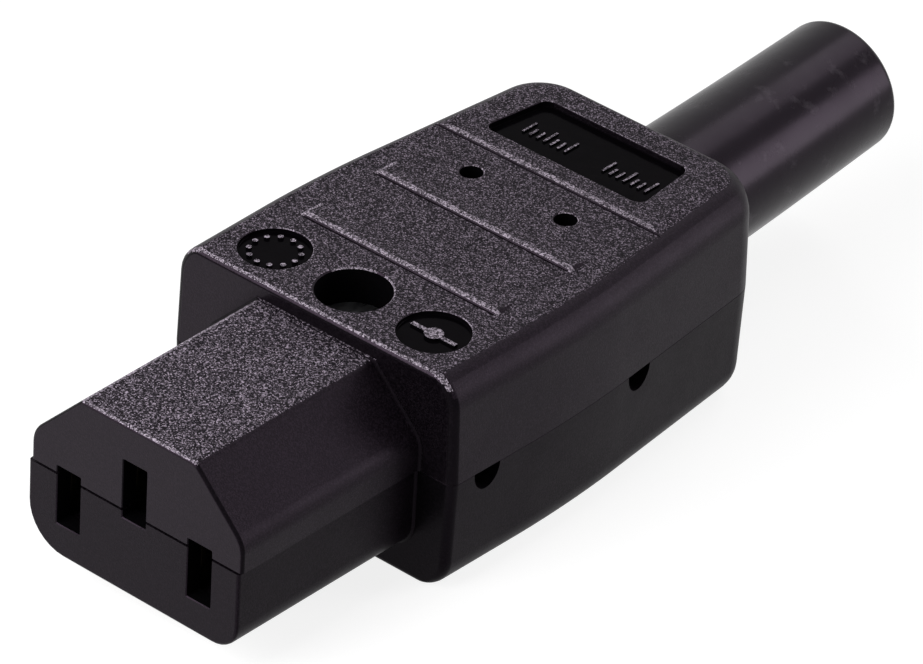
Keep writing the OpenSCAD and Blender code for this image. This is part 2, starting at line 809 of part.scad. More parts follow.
// Bar that presses the cable up against the saddle in the upper shell
module clamp_bar() {
    y0 = clamp_at - clamp_len / 2;
    cheek = clamp_pitch / 2 - clamp_screw_d / 2 - 3 * hole_clear;
    color(nylon) difference() {
        union() {
            span(clamp_w / 2, y0, y0 + clamp_len, bar_z, bar_top_z);
            span(cheek, y0, y0 + clamp_len, bar_z, -cable_d / 4);
        }
        translate([0, y0 - over, 0]) rotate([-90, 0, 0])
            cylinder(r = cable_d / 2 + clamp_clear, h = clamp_len + 2 * over);
        at_clamp_screws() translate([0, 0, bar_z - over])
            cylinder(r = clamp_screw_d / 2 + hole_clear, h = clamp_t + cable_d);
    }
}

// Self-tapping screw that enters from below and bites into the upper shell
module clamp_screw(s) {
    color(steel) translate([s * clamp_pitch / 2, clamp_at, bar_z]) mirror([0, 0, 1])
        pan_screw(clamp_screw_d, roof_z - tip_gap - bar_z, clamp_head_d, clamp_head_h);
}

module left_clamp_screw() { clamp_screw(-1); }
module right_clamp_screw() { clamp_screw(1); }

// Rubber boot: a flange held by the shells and a slightly tapered sleeve
module cable_boot() {
    flare = 0.8;
    end_r = boot_end_d / 2;
    color(rubber) rotate([-90, 0, 0]) difference() {
        rotate_extrude($fn = 96) difference() {
            union() {
                translate([0, flange_y0]) square([flange_d / 2, flange_t]);
                polygon([[0, flange_y1 - over], [boot_root_d / 2, flange_y1 - over],
                    [boot_root_d / 2, rear_y], [end_r, boot_end_y - boot_edge_r],
                    [end_r - boot_edge_r, boot_end_y - boot_edge_r],
                    [end_r - boot_edge_r, boot_end_y], [0, boot_end_y]]);
                translate([end_r - boot_edge_r, boot_end_y - boot_edge_r])
                    circle(r = boot_edge_r);
            }
            translate([0, flange_y0 - over]) square([bore_r, boot_end_y]);
            polygon([[0, flange_y0 - over], [bore_r + flare, flange_y0 - over],
                [bore_r + flare, flange_y0], [bore_r, flange_y0 + flare],
                [0, flange_y0 + flare]]);
        }
    }
}

// ---------------------------------------------------------------- assembly

// Sets the connector on its underside, with the middle of its box over the origin
module placed() {
    translate([0, -boot_end_y / 2, body_drop]) children();
}

placed() upper_shell();
placed() lower_shell();
placed() case_screw();
placed() case_nut();
placed() line_contact();
placed() neutral_contact();
placed() earth_contact();
placed() line_terminal();
placed() neutral_terminal();
placed() earth_terminal();
placed() line_terminal_screw();
placed() neutral_terminal_screw();
placed() earth_terminal_screw();
placed() clamp_bar();
placed() left_clamp_screw();
placed() right_clamp_screw();
placed() cable_boot();
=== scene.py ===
"""Looks of a rewireable c13 power connector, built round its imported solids.

Sizes are in millimetres in the connector's own frame: the mating face lies at y = 0, the
parting plane at z = 0 and the cable leaves towards +y. Bench.place() carries a finished
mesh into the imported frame, which is in metres.
"""

import logging
import math
from dataclasses import dataclass, field
from enum import Enum
from typing import Callable, Sequence

import bmesh
import bpy
from mathutils import Matrix, Vector

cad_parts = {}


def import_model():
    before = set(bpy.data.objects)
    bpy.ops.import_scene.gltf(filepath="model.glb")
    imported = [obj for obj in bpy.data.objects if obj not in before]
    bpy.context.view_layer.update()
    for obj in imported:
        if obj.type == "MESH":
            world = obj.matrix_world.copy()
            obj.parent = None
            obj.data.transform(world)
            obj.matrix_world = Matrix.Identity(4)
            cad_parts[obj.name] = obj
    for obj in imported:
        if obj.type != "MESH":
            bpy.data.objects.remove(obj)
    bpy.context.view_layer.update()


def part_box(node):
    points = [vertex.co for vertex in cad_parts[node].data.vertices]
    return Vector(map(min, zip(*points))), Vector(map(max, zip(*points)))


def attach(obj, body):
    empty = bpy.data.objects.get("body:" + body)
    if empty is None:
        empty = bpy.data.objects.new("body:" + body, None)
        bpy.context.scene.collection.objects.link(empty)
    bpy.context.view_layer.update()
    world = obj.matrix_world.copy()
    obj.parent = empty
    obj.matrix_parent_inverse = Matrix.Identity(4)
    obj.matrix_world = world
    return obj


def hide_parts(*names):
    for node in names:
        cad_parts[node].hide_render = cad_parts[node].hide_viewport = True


LOG = logging.getLogger("connector")
MM = 0.001
OVER = 1.0  # how far a cutter runs past what it cuts, in millimetres
BODY = "root"
SPREAD = (0.3, 0.7)  # the span that most of a noise's values fall in
UPWARD = 0.93  # a normal's z over which a face counts as a top
SLOPED = 0.45  # a normal's z over which it counts as a slope
FORWARD = -0.7  # a normal's y under which it counts as a front


class Slot(Enum):
    """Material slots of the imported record."""

    HOUSING = "housing"
    BOOT = "boot"
    BRASS = "brass"
    STEEL = "steel"
    CLAMP = "clamp"


class Side(Enum):
    """The two sides of the connector, seen from its mating face."""

    LEFT = -1
    RIGHT = 1


class Finish(Enum):
    """Finishes of the housing's faces. Apart from the smooth and the polished one, each carries
    painted light or shade: painted glints in the grain, or a lit or shaded copy of the same black
    plastic.
    """

    SMOOTH = "sides of the upper shell"
    GRAINED = "deck and platform"
    POLISHED = "floors of the recesses"
    # painted highlight: a much lighter copy of the grain on front and left edges, the rounded
    # fronts of the step and ridges, and the tops of raised marks
    PAINTED_HIGHLIGHT = "rubbed edges and raised marks"
    # painted shade: a darker copy of the smooth plastic inside slots and screw holes
    SHADED_HOLLOW = "insides of slots and screw holes"
    # painted shade: a darker copy of the smooth plastic on these edges and on the lower shell's
    # body front
    EDGE = "edge of the mating face, root of the nose and front edges"
    # painted shade: a darker copy of the smooth plastic on front faces
    FRONT = "front faces of the upper shell"
    # painted sheen: the nose's top is a lighter copy of the grained plastic
    NOSE = "top of the nose"
    # painted shade: the lower shell's sides and mating face are darker copies of the smooth plastic
    LOWER = "sides of the lower shell"
    SHADED_LOWER_FRONT = "mating face of the lower shell"


# ---------------------------------------------------------------- mesh tools


def rounded(corners: Sequence[tuple[float, float, float]], steps: int = 8) -> list[Vector]:
    """Works out a closed outline with an arc at each corner.

    Args:
        corners: x, y and fillet radius of each corner, in order round the outline.
        steps: number of stretches that each arc is divided into.

    Returns:
        The outline's points, two-dimensional.
    """
    points: list[Vector] = []
    count = len(corners)
    for i, (x, y, radius) in enumerate(corners):
        here = Vector((x, y))
        before = (Vector(corners[i - 1][:2]) - here).normalized()
        after = (Vector(corners[(i + 1) % count][:2]) - here).normalized()
        if radius <= 0:
            points.append(here)
            continue
        half = before.angle(after) / 2
        middle = here + (before + after).normalized() * radius / math.sin(half)
        start = here + before * radius / math.tan(half) - middle
        end = here + after * radius / math.tan(half) - middle
        turn = start.angle_signed(end)
        for k in range(steps + 1):
            points.append(middle + Matrix.Rotation(-turn * k / steps, 2) @ start)
    return points


def level(outline: Sequence[Vector], z: float) -> list[Vector]:
    """Lays a two-dimensional outline flat at height z."""
    return [Vector((p.x, p.y, z)) for p in outline]


def station(outline: Sequence[Vector], y: float) -> list[Vector]:
    """Stands a two-dimensional outline upright, across the connector, at distance y."""
    return [Vector((p.x, y, p.y)) for p in outline]


def circle(x: float, y: float, radius: float, steps: int = 64) -> list[Vector]:
    """Works out a two-dimensional circle's points.

    Args:
        x: middle of the circle, across.
        y: middle of the circle, up or along.
        radius: its radius.
        steps: number of points.

    Returns:
        The points, in order round the circle.
    """
    turn = 2 * math.pi / steps
    return [Vector((x + radius * math.cos(turn * k), y + radius * math.sin(turn * k)))
            for k in range(steps)]


def loft(rings: Sequence[Sequence[Vector]]) -> bmesh.types.BMesh:
    """Bridges closed rings with the same number of points and caps both ends.

    Args:
        rings: the rings in order, each a list of points.

    Returns:
        A closed mesh whose faces point outwards.
    """
    bm = bmesh.new()
    loops = []
    for ring in rings:
        verts = [bm.verts.new(p) for p in ring]
        loops.append([bm.edges.new((verts[i - 1], verts[i])) for i in range(len(verts))])
    for low, high in zip(loops, loops[1:]):
        bmesh.ops.bridge_loops(bm, edges=low + high)
    for loop in (loops[0], loops[-1]):
        bmesh.ops.contextual_create(bm, geom=loop)
    bmesh.ops.recalc_face_normals(bm, faces=bm.faces)
    return bm


def slab(x0: float, x1: float, y0: float, y1: float, z0: float, z1: float) -> bmesh.types.BMesh:
    """Makes a box between two corners.

    Args:
        x0: lowest x.
        x1: highest x.
        y0: lowest y.
        y1: highest y.
        z0: lowest z.
        z1: highest z.

    Returns:
        The box's closed mesh.
    """
    bm = bmesh.new()
    bmesh.ops.create_cube(bm, size=1.0)
    bmesh.ops.scale(bm, vec=(x1 - x0, y1 - y0, z1 - z0), verts=bm.verts)
    bmesh.ops.translate(bm, vec=((x0 + x1) / 2, (y0 + y1) / 2, (z0 + z1) / 2), verts=bm.verts)
    return bm


def post(x: float, y: float, radius: float, z0: float, z1: float) -> bmesh.types.BMesh:
    """Makes an upright cylinder from z0 to z1."""
    ring = circle(x, y, radius)
    return loft([level(ring, z0), level(ring, z1)])


def rod(x: float, z: float, radius: float, y0: float, y1: float) -> bmesh.types.BMesh:
    """Makes a cylinder along the connector, from y0 to y1."""
    ring = circle(x, z, radius)
    return loft([station(ring, y0), station(ring, y1)])


def in_order(bm: bmesh.types.BMesh) -> None:
    """Sorts a mesh's edges and faces by their corners, so that each run gives the same mesh.

    Args:
        bm: the mesh, in which no two faces share both their lowest and highest corner.
    """
    bm.verts.index_update()
    count = len(bm.verts)
    for items in (bm.edges, bm.faces):
        items.sort(key=lambda item: min(v.index for v in item.verts) * count
                   + max(v.index for v in item.verts))


def lathe(profile: Sequence[tuple[float, float]], steps: int = 96) -> bmesh.types.BMesh:
    """Spins a closed profile of radius and height once round the z axis.

    Args:
        profile: radius and height of each point, in order round the profile.
        steps: number of stretches in the full turn.

    Returns:
        A closed mesh whose faces point outwards.
    """
    bm = bmesh.new()
    verts = [bm.verts.new((radius, 0, height)) for radius, height in profile]
    edges = [bm.edges.new((verts[i - 1], verts[i])) for i in range(len(verts))]
    bmesh.ops.spin(bm, geom=verts + edges, axis=(0, 0, 1), cent=(0, 0, 0), steps=steps,
                   angle=2 * math.pi, use_merge=True)
    in_order(bm)
    bmesh.ops.remove_doubles(bm, verts=bm.verts, dist=1e-5)
    bmesh.ops.recalc_face_normals(bm, faces=bm.faces)
    return bm


def fillet_profile(corners: Sequence[tuple[float, float, float]], steps: int = 6
                   ) -> list[tuple[float, float]]:
    """Rounds the corners of a lathe profile given as radius, height and fillet."""
    return [(p.x, p.y) for p in rounded(corners, steps)]


def pit(outline: Callable[[float], list[Vector]], top: float, depth: float, lip: float = 0.1,
        foot: float = 0.1) -> bmesh.types.BMesh:
    """Makes the cutter of a recess with a soft lip and a small fillet at its floor.

    Args:
        outline: gives the recess's outline, moved in by the amount it is called with.
        top: height of the surface that the recess is sunk into.
        depth: depth of the recess.
        lip: size of the rounded edge at the surface.
        foot: size of the fillet at the floor.

    Returns:
        The cutter, which stands a little proud of the surface.
    """
    rings = [level(outline(foot), top - depth)]
    rings.append(level(outline(0.3 * foot), top - depth + 0.3 * foot))
    rings.append(level(outline(0), top - depth + foot))
    for angle in (0, 30, 60, 90):
        turn = math.radians(angle)
        rings.append(level(outline(-lip * (1 - math.cos(turn))),
                           top - lip + lip * math.sin(turn)))
    rings.append(level(outline(-lip), top + OVER))
    return loft(rings)


class Moulding:
    """A solid that grows and is cut by exact booleans, one collection of tools at a time."""

    def __init__(self, name: str, bm: bmesh.types.BMesh) -> None:
        """Starts the solid.

        Args:
            name: name of the finished piece.
            bm: the mesh that it starts from.
        """
        self.name = name
        self.piece = self._as_object(name, bm)

    @staticmethod
    def _as_object(name: str, bm: bmesh.types.BMesh) -> bpy.types.Object:
        """Turns a bmesh into a linked object and frees it.

        Args:
            name: name of the object and of its mesh.
            bm: the mesh.

        Returns:
            The object.
        """
        mesh = bpy.data.meshes.new(name)
        bm.to_mesh(mesh)
        bm.free()
        obj = bpy.data.objects.new(name, mesh)
        bpy.context.scene.collection.objects.link(obj)
        return obj

    def _combine(self, operation: str, tools: Sequence[bmesh.types.BMesh]) -> "Moulding":
        """Applies one boolean with every tool.

        Args:
            operation: UNION or DIFFERENCE.
            tools: the closed meshes to join or to cut away.

        Returns:
            The same solid.
        """
        group = bpy.data.collections.new("tools")
        parts = [self._as_object("tool", bm) for bm in tools]
        for part in parts:
            bpy.context.scene.collection.objects.unlink(part)
            group.objects.link(part)
        boolean = self.piece.modifiers.new("boolean", "BOOLEAN")
        boolean.operand_type = "COLLECTION"
        boolean.collection = group
        boolean.operation = operation
        boolean.solver = "EXACT"
        self._apply()
        for part in parts:
            bpy.data.meshes.remove(part.data)
        bpy.data.collections.remove(group)
        return self

    def _apply(self) -> None:
        """Bakes the piece's modifiers into its mesh."""
        bpy.context.view_layer.update()
        graph = bpy.context.evaluated_depsgraph_get()
        baked = bpy.data.meshes.new_from_object(self.piece.evaluated_get(graph))
        old = self.piece.data
        self.piece.modifiers.clear()
        self.piece.data = baked
        bpy.data.meshes.remove(old)

    def join(self, *tools: bmesh.types.BMesh) -> "Moulding":
        """Adds closed meshes to the solid."""
        return self._combine("UNION", tools)

    def cut(self, *tools: bmesh.types.BMesh) -> "Moulding":
        """Cuts closed meshes out of the solid."""
        return self._combine("DIFFERENCE", tools)

    def tidy(self, weld: float = 1e-4) -> "Moulding":
        """Welds doubles and merges the flat faces that the booleans left in pieces.

        Args:
            weld: distance under which two points are one, in millimetres.

        Returns:
            The same solid.
        """
        bm = bmesh.new()
        bm.from_mesh(self.piece.data)
        bmesh.ops.remove_doubles(bm, verts=bm.verts, dist=weld)
        bmesh.ops.dissolve_degenerate(bm, edges=bm.edges, dist=weld)
        bmesh.ops.dissolve_limit(bm, angle_limit=math.radians(0.4), verts=bm.verts,
                                 edges=bm.edges, delimit={"NORMAL"})
        bm.to_mesh(self.piece.data)
        bm.free()
        return self


@dataclass(frozen=True)
class Bench:
    """Carries finished meshes from the connector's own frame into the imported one.

    Attributes:
        face_y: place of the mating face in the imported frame, in metres.
        parting_z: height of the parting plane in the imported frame, in metres.
    """

    face_y: float
    parting_z: float

    @classmethod
    def from_frame(cls) -> "Bench":
        """Reads the mating face and the parting plane from the upper shell's box."""
        low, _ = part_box("upper_shell")
        return cls(low.y, low.z)

    def matrix(self) -> Matrix:
        """Gives the move from millimetres in the connector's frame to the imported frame."""
        return Matrix.Translation((0, self.face_y, self.parting_z)) @ Matrix.Scale(MM, 4)

    def place(self, solid: Moulding, slot: Slot, nodes: Sequence[str],
              materials: Sequence[bpy.types.Material],
              choose: Callable[[Vector, Vector], int] | None = None,
              crease: float = 30.0) -> bpy.types.Object:
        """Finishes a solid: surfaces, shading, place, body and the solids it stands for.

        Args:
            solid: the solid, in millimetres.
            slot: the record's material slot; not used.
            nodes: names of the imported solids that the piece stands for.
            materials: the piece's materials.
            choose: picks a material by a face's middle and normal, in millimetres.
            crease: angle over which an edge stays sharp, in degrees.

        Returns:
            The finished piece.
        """
        piece = solid.piece
        mesh = piece.data
        mesh.materials.clear()
        for material in materials:
            mesh.materials.append(material)
        for face in mesh.polygons:
            face.material_index = choose(face.center, face.normal) if choose else 0
        mesh.shade_smooth()
        mesh.set_sharp_from_angle(angle=math.radians(crease))
        mesh.transform(self.matrix())
        mesh.update()
        weighted = piece.modifiers.new("weighted", "WEIGHTED_NORMAL")
        weighted.keep_sharp = True
        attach(piece, BODY)
        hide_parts(*nodes)
        LOG.info("%s: %d faces", piece.name, len(mesh.polygons))
        return piece


# ---------------------------------------------------------------- finishes


class Board:
    """A material's node board, with short calls for the nodes that the finishes share."""

    def __init__(self, name: str) -> None:
        """Starts a material with one Principled shader.

        Args:
            name: name of the material.
        """
        self.material = bpy.data.materials.new(name)
        self.material.use_nodes = True
        self.tree = self.material.node_tree
        self.shader = self.tree.nodes["Principled BSDF"]
        self.place = self.add("ShaderNodeTexCoord").outputs["Object"]

    def add(self, kind: str, **settings: object) -> bpy.types.Node:
        """Adds a node and sets its own properties.

        Args:
            kind: the node's type.
            settings: values of the node's properties, by name.

        Returns:
            The node.
        """
        node = self.tree.nodes.new(kind)
        for name, value in settings.items():
            setattr(node, name, value)
        return node

    def link(self, source: bpy.types.NodeSocket, target: bpy.types.NodeSocket) -> None:
        """Joins two sockets."""
        self.tree.links.new(source, target)

    def noise(self, grain_mm: float, detail: float = 2.0, roughness: float = 0.5,
              stretch: tuple[float, float, float] = (1, 1, 1)) -> bpy.types.NodeSocket:
        """Adds a noise pattern on object coordinates.

        Args:
            grain_mm: size of one grain.
            detail: number of finer octaves.
            roughness: strength of the finer octaves.
            stretch: length of a grain along x, y and z, as a share of grain_mm.

        Returns:
            The pattern's value, from 0 to 1.
        """
        mapping = self.add("ShaderNodeMapping")
        mapping.inputs["Scale"].default_value = [1 / s for s in stretch]
        self.link(self.place, mapping.inputs["Vector"])
        noise = self.add("ShaderNodeTexNoise")
        noise.inputs["Scale"].default_value = 1 / (grain_mm * MM)
        noise.inputs["Detail"].default_value = detail
        noise.inputs["Roughness"].default_value = roughness
        self.link(mapping.outputs["Vector"], noise.inputs["Vector"])
        return noise.outputs["Fac"]

    def specks(self, grain_mm: float, sharpness: float) -> bpy.types.NodeSocket:
        """Adds small cells with a random value each, most of them dark.

        Args:
            grain_mm: size of one cell.
            sharpness: the higher, the fewer cells are bright.

        Returns:
            The cells' value, from 0 to 1.
        """
        cells = self.add("ShaderNodeTexVoronoi")
        cells.inputs["Scale"].default_value = 1 / (grain_mm * MM)
        self.link(self.place, cells.inputs["Vector"])
        split = self.add("ShaderNodeSeparateColor")
        self.link(cells.outputs["Color"], split.inputs["Color"])
        power = self.add("ShaderNodeMath", operation="POWER")
        self.link(split.outputs["Red"], power.inputs[0])
        power.inputs[1].default_value = sharpness
        return power.outputs["Value"]

    def ramp(self, value: bpy.types.NodeSocket, low: float, high: float,
             bottom: float = 0.0, top: float = 1.0) -> bpy.types.NodeSocket:
        """Maps a value from one span to another, held at both ends.

        Args:
            value: the value to map.
            low: where the first span starts.
            high: where the first span ends.
            bottom: what low is mapped to.
            top: what high is mapped to.

        Returns:
            The mapped value.
        """
        node = self.add("ShaderNodeMapRange", clamp=True)
        node.inputs["From Min"].default_value = low
        node.inputs["From Max"].default_value = high
        node.inputs["To Min"].default_value = bottom
        node.inputs["To Max"].default_value = top
        self.link(value, node.inputs["Value"])
        return node.outputs["Result"]

    def mix(self, share: bpy.types.NodeSocket, dark: Sequence[float],
            light: Sequence[float]) -> bpy.types.NodeSocket:
        """Mixes two colours.

        Args:
            share: how much of the light colour shows, from 0 to 1.
            dark: the dark colour.
            light: the light colour.

        Returns:
            The mixed colour.
        """
        node = self.add("ShaderNodeMix", data_type="RGBA")
        node.inputs[6].default_value = (*dark, 1)
        node.inputs[7].default_value = (*light, 1)
        self.link(share, node.inputs["Factor"])
        return node.outputs[2]

    def bump(self, height: bpy.types.NodeSocket, depth_mm: float) -> bpy.types.NodeSocket:
        """Turns a height into a surface normal.

        Args:
            height: the height, from 0 to 1.
            depth_mm: depth of the relief.

        Returns:
            The normal.
        """
        node = self.add("ShaderNodeBump")
        node.inputs["Distance"].default_value = depth_mm * MM
        self.link(height, node.inputs["Height"])
        return node.outputs["Normal"]

    def shine(self, level: float, tint: Sequence[float] = (0.97, 0.70, 1.0)) -> None:
        """Sets how strongly the surface mirrors its surroundings, and in which tint."""
        self.shader.inputs["Specular IOR Level"].default_value = level
        self.shader.inputs["Specular Tint"].default_value = (*tint, 1)

    def paint(self, **sockets: bpy.types.NodeSocket) -> None:
        """Joins values to the shader.

        Args:
            sockets: the values, named base for the colour, rough and normal.
        """
        names = {"base": "Base Color", "rough": "Roughness", "normal": "Normal"}
        for name, socket in sockets.items():
            self.link(socket, self.shader.inputs[names[name]])


@dataclass(frozen=True)
class GrainedPlastic:
    """Spark-textured plastic: dark, with a fine grain whose relief is real and whose glints off its
    facets are painted as light specks.
    """

    name: str = "grained_plastic"
    dark: tuple[float, float, float] = (0.003, 0.0024, 0.0034)
    # colour of the specks: painted glints
    light: tuple[float, float, float] = (0.335, 0.28, 0.35)
    grain_mm: float = 0.1
    depth_mm: float = 0.02
    sharpness: float = 5.0
    rough: tuple[float, float] = (0.42, 0.62)
    shine: float = 0.06

    def material(self) -> bpy.types.Material:
        """Builds the material.

        Returns:
            The material.
        """
        board = Board(self.name)
        board.shine(self.shine)
        grain = board.noise(self.grain_mm, detail=1.0)
        # the specks paint the grain's glints into its colour
        painted_glints = board.specks(self.grain_mm, self.sharpness)
        board.paint(
            base=board.mix(painted_glints, self.dark, self.light),
            rough=board.ramp(grain, *SPREAD, *self.rough),
            normal=board.bump(grain, self.depth_mm),
        )
        return board.material


@dataclass(frozen=True)
class SmoothPlastic:
    """Moulded plastic with a fine matte skin and faint cloudy variation."""

    name: str = "smooth_plastic"
    dark: tuple[float, float, float] = (0.001, 0.0007, 0.0011)
    light: tuple[float, float, float] = (0.016, 0.0115, 0.0166)
    rough: tuple[float, float] = (0.38, 0.48)
    shine: float = 0.105
    cloud_mm: float = 5.0
    skin_mm: float = 0.14
    skin_depth_mm: float = 0.012
    speck_mm: float = 0.1
    sharpness: float = 2.0

    def material(self) -> bpy.types.Material:
        """Builds the material.

        Returns:
            The material.
        """
        board = Board(self.name)
        board.shine(self.shine)
        clouds = board.noise(self.cloud_mm, detail=8.0, roughness=0.72)
        skin = board.noise(self.skin_mm, detail=1.0)
        specks = board.specks(self.speck_mm, self.sharpness)
        board.paint(
            base=board.mix(specks, self.dark, self.light),
            rough=board.ramp(clouds, *SPREAD, *self.rough),
            normal=board.bump(skin, self.skin_depth_mm),
        )
        return board.material


@dataclass(frozen=True)
class GlossPlastic:
    """Polished plastic of the recess floors, with a slight waviness."""

    name: str = "polished_plastic"
    dark: tuple[float, float, float] = (0.0012, 0.001, 0.0014)
    light: tuple[float, float, float] = (0.0025, 0.002, 0.0028)
    rough: tuple[float, float] = (0.10, 0.2)
    shine: float = 0.012
    wave_mm: float = 1.5
    depth_mm: float = 0.02

    def material(self) -> bpy.types.Material:
        """Builds the material.

        Returns:
            The material.
        """
        board = Board(self.name)
        board.shine(self.shine)
        waves = board.noise(self.wave_mm)
        board.paint(
            base=board.mix(waves, self.dark, self.light),
            rough=board.ramp(waves, *SPREAD, *self.rough),
            normal=board.bump(waves, self.depth_mm),
        )
        return board.material


@dataclass(frozen=True)
class BootRubber:
    """Semi-gloss rubber with dusty scuffs."""

    name: str = "boot_rubber"
    dark: tuple[float, float, float] = (0.004, 0.0031, 0.0043)
    dusty: tuple[float, float, float] = (0.05, 0.044, 0.051)
    rough: tuple[float, float] = (0.24, 0.3)
    shine: float = 0.125
    scuff_mm: float = 2.2
    scuff_span: tuple[float, float] = (0.58, 0.75)
    cloud_mm: float = 5.0
    depth_mm: float = 0.05

    def material(self) -> bpy.types.Material:
        """Builds the material.

        Returns:
            The material.
        """
        board = Board(self.name)
        board.shine(self.shine)
        patches = board.noise(self.scuff_mm, detail=6.0, roughness=0.65)
        scuffs = board.ramp(patches, *self.scuff_span)
        clouds = board.noise(self.cloud_mm, detail=3.0)
        board.paint(
            base=board.mix(scuffs, self.dark, self.dusty),
            rough=board.ramp(clouds, *SPREAD, *self.rough),
            normal=board.bump(clouds, self.depth_mm),
        )
        return board.material


@dataclass(frozen=True)
class BareMetal:
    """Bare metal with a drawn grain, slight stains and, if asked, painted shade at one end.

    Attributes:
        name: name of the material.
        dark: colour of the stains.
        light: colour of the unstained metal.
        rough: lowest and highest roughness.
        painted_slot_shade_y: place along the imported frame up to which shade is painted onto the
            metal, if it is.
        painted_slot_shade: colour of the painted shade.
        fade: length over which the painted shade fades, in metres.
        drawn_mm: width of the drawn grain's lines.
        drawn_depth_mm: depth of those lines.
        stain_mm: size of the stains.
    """

    name: str
    dark: tuple[float, float, float]
    light: tuple[float, float, float]
    rough: tuple[float, float] = (0.22, 0.42)
    painted_slot_shade_y: float | None = None
    painted_slot_shade: tuple[float, float, float] = (0.012, 0.009, 0.006)
    fade: float = 5 * MM
    drawn_mm: float = 0.3
    drawn_depth_mm: float = 0.004
    stain_mm: float = 3.0

    def material(self) -> bpy.types.Material:
        """Builds the material.

        Returns:
            The material.
        """
        board = Board(self.name)
        drawn = board.noise(self.drawn_mm, detail=3.0, stretch=(1, 8, 1))
        stains = board.noise(self.stain_mm, detail=4.0)
        board.shader.inputs["Metallic"].default_value = 1.0
        base = board.mix(stains, self.dark, self.light)
        # painted shade: the metal darkens towards the mating face, where the contacts sit deep in
        # the dark slots
        if self.painted_slot_shade_y is not None:
            along = board.add("ShaderNodeSeparateXYZ")
            board.link(board.place, along.inputs["Vector"])
            unshaded = board.ramp(along.outputs["Y"], self.painted_slot_shade_y, self.painted_slot_shade_y + self.fade)
            shaded_mouth = board.mix(unshaded, self.painted_slot_shade, self.light)
            board.link(base, shaded_mouth.node.inputs[7])
            base = shaded_mouth
        board.paint(
            base=base,
            rough=board.ramp(drawn, *SPREAD, *self.rough),
            normal=board.bump(drawn, self.drawn_depth_mm),
        )
        return board.material


# ---------------------------------------------------------------- housing


